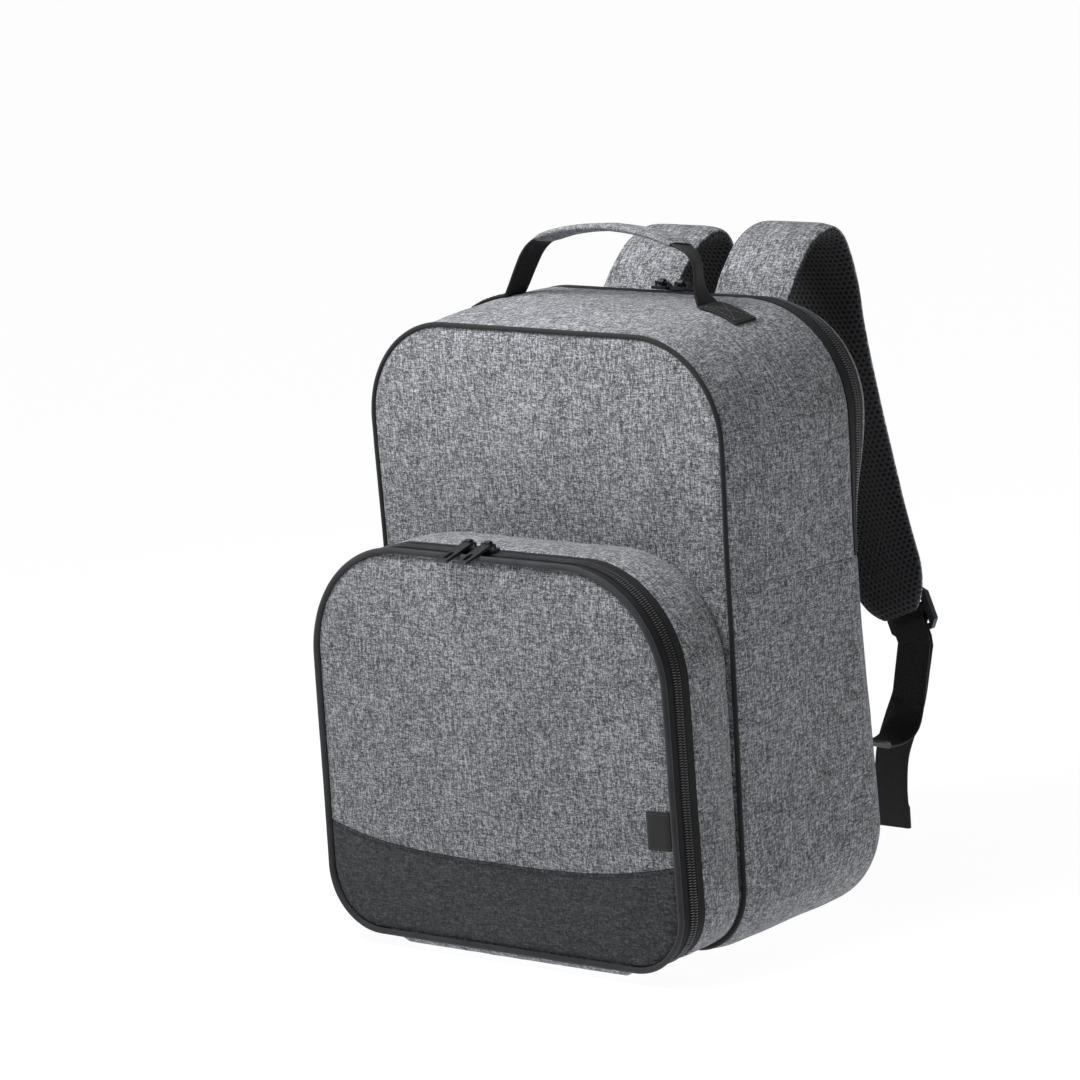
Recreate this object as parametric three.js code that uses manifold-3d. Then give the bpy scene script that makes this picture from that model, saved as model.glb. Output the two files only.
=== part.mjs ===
// Cooler backpack with a zipped front pocket, a grab handle and two padded shoulder straps.
// Millimetres. X runs to the right of someone who faces the pocket, Y runs from the pocket towards
// the straps, and Z is up. The origin is the middle of the main body's base, on the floor.

import * as THREE from 'three';
import { mergeVertices } from 'three/addons/utils/BufferGeometryUtils.js';
import Module from 'manifold-3d';

const wasm = await Module();
wasm.setup();

// Main body
const BODY_WIDTH = 268;
const BODY_HEIGHT = 369.5;
const BODY_DEPTH = 146;
const BODY_TOP_RADIUS = 60;
const BODY_FOOT_RADIUS = 45;
const BODY_WALL = 3;
const SIDE_SEAM_HEIGHT = 222;
const SHOULDER_HEIGHT = 310;
const BASE_EDGE_LIFT = 4;
const BASE_EDGE_LENGTH = 20;
const FRONT_PANEL_BULGE = 3;
const PANEL_PROUD = 1;
const BACK_PAD = 6;
const BACK_PAD_BULGE = 5;

// Front pocket
const POCKET_EXTRA_WIDTH = 2.5;
const POCKET_WIDTH = BODY_WIDTH + POCKET_EXTRA_WIDTH;
const POCKET_TOP = 245.5;
const POCKET_FOOT = 8.5;
const POCKET_DEPTH = 67;
const POCKET_TOP_RADIUS = 69;
const POCKET_FOOT_RADIUS = 37;
const POCKET_WALL = 2.2;
const POCKET_BULGE = 5;
const BAND_SEAM_HEIGHT = 62.5;
const BAND_SEAM_BOW = 11;
const HINGE_WIDTH = 184;
const HINGE_SAG = 7.2;
const HINGE_SAG_TAPER = 9;
const LABEL_WIDTH = 16;
const LABEL_HEIGHT = 23;
const LABEL_FOOT = 83.5;

// Trim
const PIPING_DIAMETER = 3.8;
const TAPE_THICKNESS = 1.2;
const COIL_THICKNESS = 3;
const COIL_PROUD = 0.5;
const COIL_WIDTH = 8;
const POCKET_TAPE_WIDTH = 6;
const MAIN_TAPE_WIDTH = 6.5;
const MAIN_ZIP_FROM_BACK = 22;
const WEBBING_WIDTH = 25;
const HANDLE_WEBBING_WIDTH = 20;
const WEBBING_THICKNESS = 1.8;

// Sliders and their pulls
const SLIDER_LENGTH = 11;
const SLIDER_WIDTH = 8;
const SLIDER_PLATE = 2;
const BRIDGE_BAR = 1.4;
const BRIDGE_POST = 1.4;
const EYE_RING = 1;
const EYE_WIDTH = 4;
const PULL_LENGTH = 26;
const PULL_WIDTH = 7.5;
const PULL_THICKNESS = 1.6;
const PULL_SLOT_WIDTH = 3;
const PULL_SLOT_LENGTH = 8;
const PULL_SLOT_MARGIN = 3;
const SLIDER_SPACING = 15;
const POCKET_SLIDERS_X = -9;
const MAIN_SLIDERS_X = 3;

// Grab handle
const HANDLE_SPAN = 149;
const HANDLE_RISE = 43;
const HANDLE_LEAN = 9;
const HANDLE_SETBACK = 70;
const HANDLE_PATCH = 27;
const GRIP_SHARE = 0.7;
const GRIP_WIDTH = 24;
const GRIP_THICKNESS = 5;

// Shoulder straps
const STRAP_SPACING = 88;
const STRAP_WIDTH = 56;
const STRAP_RISE = 37.5;
const STRAP_FALL = 244;
const STRAP_REACH = 87;
const STRAP_SPLAY = 36;
const STRAP_ROUND = 34;
const COVER_THICKNESS = 3;
const MESH_THICKNESS = 5;
const STRAP_SEAM_THICKNESS = 1.4;
const STRAP_SEAM_TAPER = 14;

// Ladder locks and the webbing below the straps
const LOCK_WIDTH = 36;
const LOCK_HEIGHT = 28;
const LOCK_THICKNESS = 4;
const LOCK_BAR = 4;
const LOCK_CORNER = 5;
const STRAP_END_LAP = 34;
const STRAP_END_START = 22;
const ANCHOR_HEIGHT = 98.5;
const ANCHOR_PATCH = 22;
const TAIL_FOOT = 17.5;
const TAIL_HEM = 14;

// Clearances between pieces that touch
const GAP = 0.3;
const SEAT_GAP = 0.4;

const Y_FRONT = -BODY_DEPTH / 2;
const Y_BACK = BODY_DEPTH / 2;
const PIPING_RADIUS = PIPING_DIAMETER / 2;
const PIPING_CLEAR = PIPING_RADIUS + GAP;
const PANEL_FACE = Y_FRONT - PANEL_PROUD;

// Outline of the main body at stations from the front seam to the back seam. depth is a share of
// BODY_DEPTH; top, middle and foot are shares of half of BODY_WIDTH, at the shoulder, the side seam
// and the base; height is a share of BODY_HEIGHT; topRadius and footRadius are shares of the radii
// above.
const BODY_SECTIONS = [
  { depth: 0.000, top: 1.000, middle: 0.988, foot: 0.963, height: 1.000, topRadius: 1.00, footRadius: 0.92 },
  { depth: 0.205, top: 1.028, middle: 1.008, foot: 0.981, height: 1.011, topRadius: 1.15, footRadius: 1.05 },
  { depth: 0.438, top: 1.052, middle: 1.026, foot: 1.004, height: 1.018, topRadius: 1.26, footRadius: 1.18 },
  { depth: 0.664, top: 1.060, middle: 1.040, foot: 1.025, height: 1.016, topRadius: 1.22, footRadius: 1.30 },
  { depth: 0.774, top: 1.054, middle: 1.042, foot: 1.037, height: 1.013, topRadius: 1.14, footRadius: 1.36 },
  { depth: 0.836, top: 1.042, middle: 0.998, foot: 1.037, height: 1.010, topRadius: 1.08, footRadius: 1.36 },
  { depth: 0.890, top: 1.022, middle: 0.951, foot: 1.000, height: 1.004, topRadius: 1.03, footRadius: 1.32 },
  { depth: 0.945, top: 0.996, middle: 0.903, foot: 0.951, height: 0.995, topRadius: 0.98, footRadius: 1.25 },
  { depth: 1.000, top: 0.955, middle: 0.851, foot: 0.892, height: 0.980, topRadius: 0.92, footRadius: 1.18 },
];

// Outline of the front pocket from its seam on the main panel (depth 0) to its front face (depth 1).
// width columns are shares of half of POCKET_WIDTH; rise is a share of POCKET_TOP.
const POCKET_SECTIONS = [
  { depth: 0.00, top: 0.944, middle: 0.940, foot: 0.930, rise: 0.990, topRadius: 0.94, footRadius: 0.92 },
  { depth: 0.12, top: 0.972, middle: 0.972, foot: 0.968, rise: 1.000, topRadius: 1.00, footRadius: 0.96 },
  { depth: 0.40, top: 0.992, middle: 0.998, foot: 1.000, rise: 1.006, topRadius: 1.02, footRadius: 1.00 },
  { depth: 0.75, top: 0.992, middle: 0.998, foot: 1.005, rise: 1.004, topRadius: 1.00, footRadius: 1.00 },
  { depth: 1.00, top: 0.989, middle: 0.997, foot: 1.005, rise: 1.000, topRadius: 1.00, footRadius: 1.00 },
];

// The grab handle from a foot (out 1) to its middle (out 0). out is a share of half of HANDLE_SPAN,
// rise a share of HANDLE_RISE.
const HANDLE_ROWS = [
  { out: 0.960, rise: 0.15 },
  { out: 0.900, rise: 0.38 },
  { out: 0.840, rise: 0.58 },
  { out: 0.780, rise: 0.70 },
  { out: GRIP_SHARE, rise: 0.79 },
  { out: 0.500, rise: 0.90 },
  { out: 0.250, rise: 0.97 },
  { out: 0.000, rise: 1.00 },
];

// A shoulder strap from the back seam to its ridge, and from the ridge to its tip. back is a share of
// STRAP_REACH, rise a share of STRAP_RISE, fall a share of STRAP_FALL, splay a share of STRAP_SPLAY.
const STRAP_RISE_ROWS = [
  { back: 0.003, rise: 0.010, splay: 0 },
  { back: 0.040, rise: 0.110, splay: 0 },
  { back: 0.082, rise: 0.207, splay: 0 },
  { back: 0.126, rise: 0.345, splay: 0 },
  { back: 0.242, rise: 0.620, splay: 0 },
  { back: 0.346, rise: 0.816, splay: 0 },
  { back: 0.484, rise: 0.954, splay: 0 },
  { back: 0.615, rise: 1.000, splay: 0.01 },
];
const STRAP_FALL_ROWS = [
  { back: 0.714, fall: 0.024, splay: 0.02 },
  { back: 0.780, fall: 0.075, splay: 0.03 },
  { back: 0.830, fall: 0.151, splay: 0.05 },
  { back: 0.852, fall: 0.254, splay: 0.08 },
  { back: 0.912, fall: 0.421, splay: 0.16 },
  { back: 0.967, fall: 0.591, splay: 0.29 },
  { back: 1.000, fall: 0.774, splay: 0.50 },
  { back: 0.995, fall: 0.893, splay: 0.73 },
  { back: 0.989, fall: 1.000, splay: 1.00 },
];

// The load strap from its patch on the back panel to the ladder lock. out is a share of half of
// BODY_WIDTH, back a share of STRAP_REACH, height a share of ANCHOR_HEIGHT.
const LOAD_ROWS = [
  { out: 0.763, back: 0.085, height: 0.985 },
  { out: 0.755, back: 0.20, height: 0.955 },
  { out: 0.690, back: 0.37, height: 0.905 },
  { out: 0.595, back: 0.56, height: 0.835 },
  { out: 0.565, back: 0.79, height: 0.800 },
  { out: 0.565, back: 0.91, height: 0.815 },
  { out: 0.580, back: 0.98, height: 0.880 },
  { out: 0.605, back: 1.01, height: 1.040 },
];

// The free tail below the ladder lock. drop is a share of the way down to TAIL_FOOT, out a share of
// half of BODY_WIDTH.
const TAIL_ROWS = [
  { drop: 0.12, out: 0.620 },
  { drop: 0.30, out: 0.580 },
  { drop: 0.45, out: 0.520 },
  { drop: 0.60, out: 0.468 },
  { drop: 0.78, out: 0.447 },
];

// Segments of each leg of a half outline, from the middle of the foot up the right side to the
// middle of the top: inner foot, outer foot, foot corner, lower side, upper side, top corner, top.
const LEG_SEGMENTS = [1, 1, 4, 3, 3, 6, 2];
const LEGS = LEG_SEGMENTS.length;
const PIPING_SIDES = 6;
const PANEL_COLUMNS = 8;
const CORNER_LEG = 2;
const SIDE_LEG = 4;
const TOP_CORNER_LEG = 5;
const HINGE_STEPS = 8;

// Step over which a skin's directions are measured
const SMALL_STEP = 0.02;

const material = (color, roughness, metalness = 0) =>
  new THREE.MeshStandardMaterial({ color, roughness, metalness });
const heather = () => material(0x85868b, 0.9);
const charcoal = () => material(0x3d3e42, 0.9);
const darkTape = () => material(0x2a2b2e, 0.85);
const webbing = () => material(0x1b1b1d, 0.85);
const airMesh = () => material(0x17171a, 0.9);
const coilPlastic = () => material(0x1e1f22, 0.5);
const blackMetal = () => material(0x18181a, 0.4, 0.6);
const darkPlastic = () => material(0x3a3d42, 0.45);

const lerp = THREE.MathUtils.lerp;
const clamp = THREE.MathUtils.clamp;
const vec = (x, y, z) => new THREE.Vector3(x, y, z);

const pack = new THREE.Group();

// Adds one closed piece, with its faces turned outwards.
function addPiece(name, points, faces, finish, parent = pack) {
  const volume = faces.reduce((sum, [a, b, c]) =>
    sum + points[a].dot(points[b].clone().cross(points[c])), 0);
  const outward = volume > 0 ? faces : faces.map(([a, b, c]) => [a, c, b]);
  const geometry = new THREE.BufferGeometry();
  geometry.setAttribute('position', new THREE.Float32BufferAttribute(
    points.flatMap((p) => [p.x, p.y, p.z]), 3));
  geometry.setIndex(outward.flat());
  geometry.computeVertexNormals();
  const mesh = new THREE.Mesh(geometry, finish);
  mesh.name = name;
  parent.add(mesh);
  return mesh;
}

// Value of every column of a table at a share of its way, on a smooth curve through the rows.
function sampleTable(rows, key, share) {
  const last = rows.length - 1;
  const i = clamp(rows.findIndex((row) => row[key] >= share) - 1, 0, last - 1);
  const f = clamp((share - rows[i][key]) / (rows[i + 1][key] - rows[i][key]), 0, 1);
  const row = (k) => rows[clamp(k, 0, last)];
  const slope = (column, k) => (row(k + 1)[column] - row(k - 1)[column])
    / (row(k + 1)[key] - row(k - 1)[key]);
  const span = rows[i + 1][key] - rows[i][key];
  const blend = (column) => {
    const [p, q] = [rows[i][column], rows[i + 1][column]];
    const [m, n] = [slope(column, i) * span, slope(column, i + 1) * span];
    return (2 * f ** 3 - 3 * f ** 2 + 1) * p + (f ** 3 - 2 * f ** 2 + f) * m
      + (3 * f ** 2 - 2 * f ** 3) * q + (f ** 3 - f ** 2) * n;
  };
  return Object.fromEntries(Object.keys(rows[0]).map((column) => [column, blend(column)]));
}

// Half width of an outline at a height. It eases from the foot to the waist, and on to the shoulder.
function halfWidthAt(o, z) {
  const ease = THREE.MathUtils.smoothstep;
  return z < o.waist
    ? lerp(o.footHalf, o.middleHalf, ease(z, o.foot, o.waist))
    : lerp(o.middleHalf, o.topHalf, ease(z, o.waist, o.shoulder));
}

// Point of a rounded outline in X and Z. t runs from 0 in the middle of the foot up the right side
// to LEGS in the middle of the top, and on down the left side to twice LEGS.
function outlinePoint(o, t) {
  const turn = 2 * LEGS;
  const u = ((t % turn) + turn) % turn;
  const side = u > LEGS ? -1 : 1;
  const h = side < 0 ? turn - u : u;
  const leg = Math.min(Math.floor(h), LEGS - 1);
  const f = h - leg;
  const w = o.topHalf;
  const footEnd = w - o.footRadius;
  const angle = f * Math.PI / 2;
  const legs = [
    () => [lerp(0, o.footSplit, f), o.foot],
    () => [lerp(o.footSplit, footEnd, f), o.foot],
    () => [footEnd + o.footRadius * Math.sin(angle), o.foot + o.footRadius * (1 - Math.cos(angle))],
    () => [w, lerp(o.foot + o.footRadius, o.sideSplit, f)],
    () => [w, lerp(o.sideSplit, o.top - o.topRadius, f)],
    () => [w - o.topRadius * (1 - Math.cos(angle)), o.top - o.topRadius * (1 - Math.sin(angle))],
    () => [lerp(w - o.topRadius, 0, f), o.top],
  ];
  const [x, z] = legs[leg]();
  return { x: side * x * halfWidthAt(o, z) / w, z };
}

const inset = (o, by) => ({
  ...o,
  topHalf: o.topHalf - by,
  middleHalf: o.middleHalf - by,
  footHalf: o.footHalf - by,
  top: o.top - by,
  foot: o.foot + by,
  topRadius: o.topRadius - by,
  footRadius: o.footRadius - by,
});

// Values of t between two legs, with each leg cut into its own number of segments.
function stops(from, to, segments = LEG_SEGMENTS) {
  const list = [from];
  for (let leg = from; leg < to; leg += 1) {
    const k = ((leg % (2 * LEGS)) + 2 * LEGS) % (2 * LEGS);
    const count = segments[k < LEGS ? k : 2 * LEGS - 1 - k];
    for (let i = 1; i <= count; i += 1) list.push(leg + i / count);
  }
  return list;
}
const wholeLoop = () => stops(0, 2 * LEGS).slice(0, -1);

// A lofted skin: outline sections along Y, with a point and an outward normal at any y and t.
function skin(outlineAt) {
  const at = (y, t) => {
    const p = outlinePoint(outlineAt(y), t);
    return vec(p.x, y, p.z);
  };
  const normal = (y, t) => {
    const along = at(y, t + SMALL_STEP).sub(at(y, t - SMALL_STEP));
    const deep = at(y + SMALL_STEP, t).sub(at(y - SMALL_STEP, t));
    return deep.cross(along).normalize();
  };
  const lifted = (y, t, lift) => at(y, t).addScaledVector(normal(y, t), lift);
  return { outlineAt, at, normal, lifted };
}

// The base is flat, and its front and back edges lift to their seams.
function baseHeight(y) {
  const fromEdge = Math.min(y - Y_FRONT, Y_BACK - y);
  return BASE_EDGE_LIFT * clamp(1 - fromEdge / BASE_EDGE_LENGTH, 0, 1) ** 2;
}

const bodySkin = (split = SIDE_SEAM_HEIGHT) => skin((y) => {
  const row = sampleTable(BODY_SECTIONS, 'depth', (y - Y_FRONT) / BODY_DEPTH);
  const half = BODY_WIDTH / 2;
  return {
    topHalf: row.top * half,
    middleHalf: row.middle * half,
    footHalf: row.foot * half,
    top: row.height * BODY_HEIGHT,
    foot: baseHeight(y),
    topRadius: row.topRadius * BODY_TOP_RADIUS,
    footRadius: row.footRadius * BODY_FOOT_RADIUS,
    footSplit: BODY_WIDTH / 6,
    sideSplit: split,
    waist: SIDE_SEAM_HEIGHT,
    shoulder: SHOULDER_HEIGHT,
  };
});

const pocketSkin = skin((y) => {
  const row = sampleTable(POCKET_SECTIONS, 'depth', (Y_FRONT - y) / POCKET_DEPTH);
  const half = POCKET_WIDTH / 2;
  return {
    topHalf: row.top * half,
    middleHalf: row.middle * half,
    footHalf: row.foot * half,
    top: row.rise * POCKET_TOP,
    foot: POCKET_FOOT,
    topRadius: row.topRadius * POCKET_TOP_RADIUS,
    footRadius: row.footRadius * POCKET_FOOT_RADIUS,
    footSplit: HINGE_WIDTH / 2,
    sideSplit: (POCKET_TOP + POCKET_FOOT) / 2,
    waist: (POCKET_TOP + POCKET_FOOT) / 2,
    shoulder: POCKET_TOP,
  };
});

// Closes a wall between two sheets of points that have the same rows and columns.
function addWall(name, outer, inner, finish, { loop = false } = {}) {
  const rows = outer.length;
  const columns = outer[0].length;
  const points = [...outer.flat(), ...inner.flat()];
  const faces = [];
  const out = (i, j) => i * columns + (j % columns);
  const back = (i, j) => rows * columns + out(i, j);
  const quad = (a, b, c, d) => faces.push([a, b, c], [a, c, d]);
  const lastColumn = loop ? columns : columns - 1;
  const end = rows - 1;
  for (let j = 0; j < lastColumn; j += 1) {
    for (let i = 0; i < end; i += 1) {
      quad(out(i, j), out(i, j + 1), out(i + 1, j + 1), out(i + 1, j));
      quad(back(i, j), back(i + 1, j), back(i + 1, j + 1), back(i, j + 1));
    }
    quad(out(0, j), back(0, j), back(0, j + 1), out(0, j + 1));
    quad(out(end, j), out(end, j + 1), back(end, j + 1), back(end, j));
  }
  if (!loop) {
    for (let i = 0; i < end; i += 1) {
      quad(out(i, 0), out(i + 1, 0), back(i + 1, 0), back(i, 0));
      quad(out(i, lastColumn), back(i, lastColumn), back(i + 1, lastColumn), out(i + 1, lastColumn));
    }
  }
  return addPiece(name, points, faces, finish);
}

// A strip of cloth, tape or coil that lies on a skin between two depths.
function addStrip(name, surface, ys, ts, lift, thickness, finish, options) {
  const sheet = (height) => ys.map((y) => ts.map((t) => surface.lifted(y, t, height)));
  return addWall(name, sheet(lift), sheet(lift - thickness), finish, options);
}

// A closed body through rings of points. closed joins the last ring to the first.
function addSweep(name, rings, finish, { closed = false } = {}) {
  const sides = rings[0].length;
  const points = rings.flat();
  const faces = [];
  const index = (i, j) => (i % rings.length) * sides + (j % sides);
  const lengths = closed ? rings.length : rings.length - 1;
  for (let i = 0; i < lengths; i += 1) {
    for (let j = 0; j < sides; j += 1) {
      faces.push([index(i, j), index(i, j + 1), index(i + 1, j + 1)]);
      faces.push([index(i, j), index(i + 1, j + 1), index(i + 1, j)]);
    }
  }
  if (!closed) {
    const last = rings.length - 1;
    for (let j = 1; j < sides - 1; j += 1) {
      faces.push([index(0, 0), index(0, j + 1), index(0, j)]);
      faces.push([index(last, 0), index(last, j), index(last, j + 1)]);
    }
  }
  return addPiece(name, points, faces, finish);
}

const spread = (from, to, count) =>
  Array.from({ length: count + 1 }, (_, i) => lerp(from, to, i / count));

// Piping round a skin at one depth.
function addPiping(name, surface, y, finish) {
  const o = surface.outlineAt(y);
  const rings = wholeLoop().map((t) => {
    const centre = outlinePoint(o, t);
    const a = outlinePoint(o, t - SMALL_STEP);
    const b = outlinePoint(o, t + SMALL_STEP);
    const out = vec(b.z - a.z, 0, a.x - b.x).normalize();
    return spread(0, 2 * Math.PI, PIPING_SIDES).slice(0, -1).map((angle) =>
      vec(centre.x, y, centre.z)
        .addScaledVector(out, PIPING_RADIUS * Math.cos(angle))
        .add(vec(0, PIPING_RADIUS * Math.sin(angle), 0)));
  });
  return addSweep(name, rings, finish, { closed: true });
}

// Right-hand edge of a panel, from the end of its foot line to the end of its top line.
function panelEdge(o, from, to) {
  return stops(from, to).map((t) => outlinePoint(o, t));
}

// A bulge that is 1 in the middle of a panel and 0 at its edges.
function pillow(o, x, z, power = 3) {
  const across = Math.abs(x) / halfWidthAt(o, z);
  const up = Math.abs(2 * (z - o.foot) / (o.top - o.foot) - 1);
  return (1 - clamp(across, 0, 1) ** power) * (1 - clamp(up, 0, 1) ** power);
}

// A panel that fills an outline. faceAt gives the Y of its outer face, and its inner face lies at
// thickness from that.
function addPanel(name, edge, faceAt, thickness, finish, { shift = () => 0, innerEdge = edge } = {}) {
  const sheet = (rows, depth) => rows.map((p) => spread(-1, 1, PANEL_COLUMNS).map((u) => {
    const x = u * p.x;
    const z = p.z + shift(x, p.z);
    return vec(x, faceAt(x, z) + depth, z);
  }));
  return addWall(name, sheet(edge, 0), sheet(innerEdge, thickness), finish);
}

// Main body: gussets, panels, piping and the zip between them.

const body = bodySkin();
const upperSkin = bodySkin(SIDE_SEAM_HEIGHT + GAP / 2);
const lowerSkin = bodySkin(SIDE_SEAM_HEIGHT - GAP / 2);
const UPPER = stops(SIDE_LEG, 2 * LEGS - SIDE_LEG);
const LOWER = stops(-SIDE_LEG, SIDE_LEG);

const gussetFront = Y_FRONT + PIPING_CLEAR;
const gussetBack = Y_BACK - BACK_PAD - GAP;
const zipMiddle = Y_BACK - MAIN_ZIP_FROM_BACK;
const coilFront = zipMiddle - COIL_WIDTH / 2;
const coilBack = zipMiddle + COIL_WIDTH / 2;
const tapeFront = coilFront - GAP - MAIN_TAPE_WIDTH;
const tapeBack = coilBack + GAP + MAIN_TAPE_WIDTH;

addPiping('main_piping', body, Y_FRONT, charcoal());
addStrip('gusset_upper', upperSkin, spread(gussetFront, tapeFront - GAP, 5), UPPER,
  0, BODY_WALL, heather());
const baseFront = Y_FRONT + BASE_EDGE_LENGTH;
const baseBack = Y_BACK - BASE_EDGE_LENGTH;
const lowerRows = [gussetFront, ...spread((gussetFront + baseFront) / 2, baseBack, 5),
  (baseBack + gussetBack) / 2, gussetBack];
addStrip('gusset_lower', lowerSkin, lowerRows, LOWER, 0, BODY_WALL, heather());
addStrip('gusset_rear', upperSkin, spread(tapeBack + GAP, gussetBack, 2), UPPER,
  0, BODY_WALL, heather());
addStrip('main_zip_tape_front', upperSkin, [tapeFront, coilFront - GAP], UPPER,
  -GAP, TAPE_THICKNESS, darkTape());
addStrip('main_zip_coil', upperSkin, [coilFront, coilBack], UPPER,
  COIL_PROUD, COIL_THICKNESS, coilPlastic());
addStrip('main_zip_tape_rear', upperSkin, [coilBack + GAP, tapeBack], UPPER,
  -GAP, TAPE_THICKNESS, darkTape());

const bulgeFoot = POCKET_TOP + GAP;
const frontOutline = { ...inset(body.outlineAt(Y_FRONT), PIPING_CLEAR), sideSplit: bulgeFoot };
addPanel('main_front_panel', panelEdge(frontOutline, CORNER_LEG, TOP_CORNER_LEG + 1),
  (x, z) => {
    const above = clamp((z - bulgeFoot) / (frontOutline.top - bulgeFoot), 0, 1);
    return PANEL_FACE - FRONT_PANEL_BULGE * Math.sin(Math.PI * above) * pillow(frontOutline, x, z);
  }, BODY_WALL, heather());

const backOutline = body.outlineAt(Y_BACK);
const backFace = (x, z) => Y_BACK + BACK_PAD_BULGE * pillow(backOutline, x, z);
addPanel('back_panel', panelEdge(backOutline, CORNER_LEG, TOP_CORNER_LEG + 1), backFace, -BACK_PAD,
  heather(), { innerEdge: panelEdge(body.outlineAt(Y_BACK - BACK_PAD), CORNER_LEG, TOP_CORNER_LEG + 1) });

// Front pocket.

const pocketFront = Y_FRONT - POCKET_DEPTH;
const pocketPipingBack = pocketFront + PIPING_CLEAR;
const pocketTapeFront = pocketPipingBack + POCKET_TAPE_WIDTH;
const pocketCoilFront = pocketTapeFront + GAP;
const pocketCoilBack = pocketCoilFront + COIL_WIDTH;
const pocketTapeBack = pocketCoilBack + GAP + POCKET_TAPE_WIDTH;
const pocketGussetFront = pocketTapeBack + GAP;
const pocketGussetBack = PANEL_FACE - GAP;

addPiping('pocket_piping', pocketSkin, pocketFront, charcoal());
addStrip('pocket_gusset', pocketSkin, spread(pocketGussetFront, pocketGussetBack, 4), wholeLoop(),
  0, POCKET_WALL, heather(), { loop: true });

// The zip runs from one end of the hinge strip up round the pocket to the other.
const zipStart = 1 + GAP / HINGE_WIDTH;
const ZIP_STOPS = stops(1, 2 * LEGS - 1).map((t) => clamp(t, zipStart, 2 * LEGS - zipStart));
addStrip('pocket_zip_tape_front', pocketSkin, [pocketPipingBack, pocketTapeFront], ZIP_STOPS,
  -GAP, TAPE_THICKNESS, darkTape());
addStrip('pocket_zip_coil', pocketSkin, [pocketCoilFront, pocketCoilBack], ZIP_STOPS,
  COIL_PROUD, COIL_THICKNESS, coilPlastic());
addStrip('pocket_zip_tape_rear', pocketSkin, [pocketCoilBack + GAP, pocketTapeBack], ZIP_STOPS,
  -GAP, TAPE_THICKNESS, darkTape());

// The hinge strip joins the ends of the zip under the pocket, and hangs in a soft roll below it.
const hingeMiddle = (pocketPipingBack + pocketTapeBack) / 2;
const hingeHalf = (pocketTapeBack - pocketPipingBack) / 2;
const hingeEnd = Math.min(pocketSkin.at(pocketPipingBack, 1).x, pocketSkin.at(pocketTapeBack, 1).x) - GAP;
const hingeXs = [-1, -1 + HINGE_SAG_TAPER / hingeEnd, -0.5, 0, 0.5, 1 - HINGE_SAG_TAPER / hingeEnd, 1];
const hingeSheet = (depth) => spread(-1, 1, HINGE_STEPS).map((across) => hingeXs.map((share) => {
  const sag = HINGE_SAG * clamp((1 - Math.abs(share)) * hingeEnd / HINGE_SAG_TAPER, 0, 1);
  return vec(share * hingeEnd, hingeMiddle + across * hingeHalf,
    POCKET_FOOT + depth - sag * Math.cos(across * Math.PI / 2));
}));
addWall('pocket_hinge_strip', hingeSheet(0), hingeSheet(POCKET_WALL), heather());

const pocketOutline = inset(pocketSkin.outlineAt(pocketFront), PIPING_CLEAR);
const pocketFace = (x, z) => pocketFront - POCKET_BULGE * pillow(pocketOutline, x, z);
const bandBow = (x) => BAND_SEAM_BOW * (Math.abs(x) / pocketOutline.topHalf) ** 3;
const bandEdge = panelEdge({ ...pocketOutline, sideSplit: BAND_SEAM_HEIGHT - GAP / 2 }, CORNER_LEG,
  SIDE_LEG);
const upperEdge = panelEdge({ ...pocketOutline, sideSplit: BAND_SEAM_HEIGHT + GAP / 2 }, SIDE_LEG,
  TOP_CORNER_LEG + 1);
const footShare = (z) => (z - pocketOutline.foot) / (BAND_SEAM_HEIGHT - pocketOutline.foot);
const topShare = (z) => (pocketOutline.top - z) / (pocketOutline.top - BAND_SEAM_HEIGHT);
addPanel('pocket_panel_band', bandEdge, pocketFace, POCKET_WALL, charcoal(),
  { shift: (x, z) => bandBow(x) * footShare(z) ** 2 });
addPanel('pocket_panel_upper', upperEdge, pocketFace, POCKET_WALL, heather(),
  { shift: (x, z) => bandBow(x) * topShare(z) ** 2 });

const labelRight = halfWidthAt(pocketOutline, LABEL_FOOT) - GAP;
const labelSheet = (depth) => spread(LABEL_FOOT, LABEL_FOOT + LABEL_HEIGHT, 2).map((z) =>
  spread(labelRight - LABEL_WIDTH, labelRight, 3).map((x) => vec(x, pocketFace(x, z) - depth, z)));
addWall('pocket_label', labelSheet(SEAT_GAP + TAPE_THICKNESS), labelSheet(SEAT_GAP), darkTape());

// Zip sliders and pulls. A pull has an eye round the slider's bridge bar and lies towards lean (-1 to
// the front, 1 to the back), tipped down by its rest angle.

function toSolid(geometry) {
  const bare = mergeVertices(geometry.clone().deleteAttribute('normal').deleteAttribute('uv'), 1e-3);
  return new wasm.Manifold(new wasm.Mesh({
    numProp: 3,
    vertProperties: new Float32Array(bare.attributes.position.array),
    triVerts: new Uint32Array(bare.index.array),
  }));
}

function fromSolid(solid) {
  const { vertProperties, triVerts, numProp } = solid.getMesh();
  const geometry = new THREE.BufferGeometry();
  const points = [];
  for (let i = 0; i < vertProperties.length; i += numProp) points.push(...vertProperties.slice(i, i + 3));
  geometry.setAttribute('position', new THREE.Float32BufferAttribute(points, 3));
  geometry.setIndex([...triVerts]);
  geometry.computeVertexNormals();
  return geometry;
}

const join = (a, b) => fromSolid(toSolid(a).add(toSolid(b)));
const box = (x, y, z, dx = 0, dy = 0, dz = 0) => new THREE.BoxGeometry(x, y, z).translate(dx, dy, dz);

const rectangle = (Kind, x0, y0, x1, y1) => new Kind([
  new THREE.Vector2(x0, y0), new THREE.Vector2(x1, y0),
  new THREE.Vector2(x1, y1), new THREE.Vector2(x0, y1),
]);
const circle = (Kind, radius, sides) => new Kind(spread(0, 2 * Math.PI, sides).slice(0, -1).map((a) =>
  new THREE.Vector2(radius * Math.cos(a), radius * Math.sin(a))));

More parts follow.
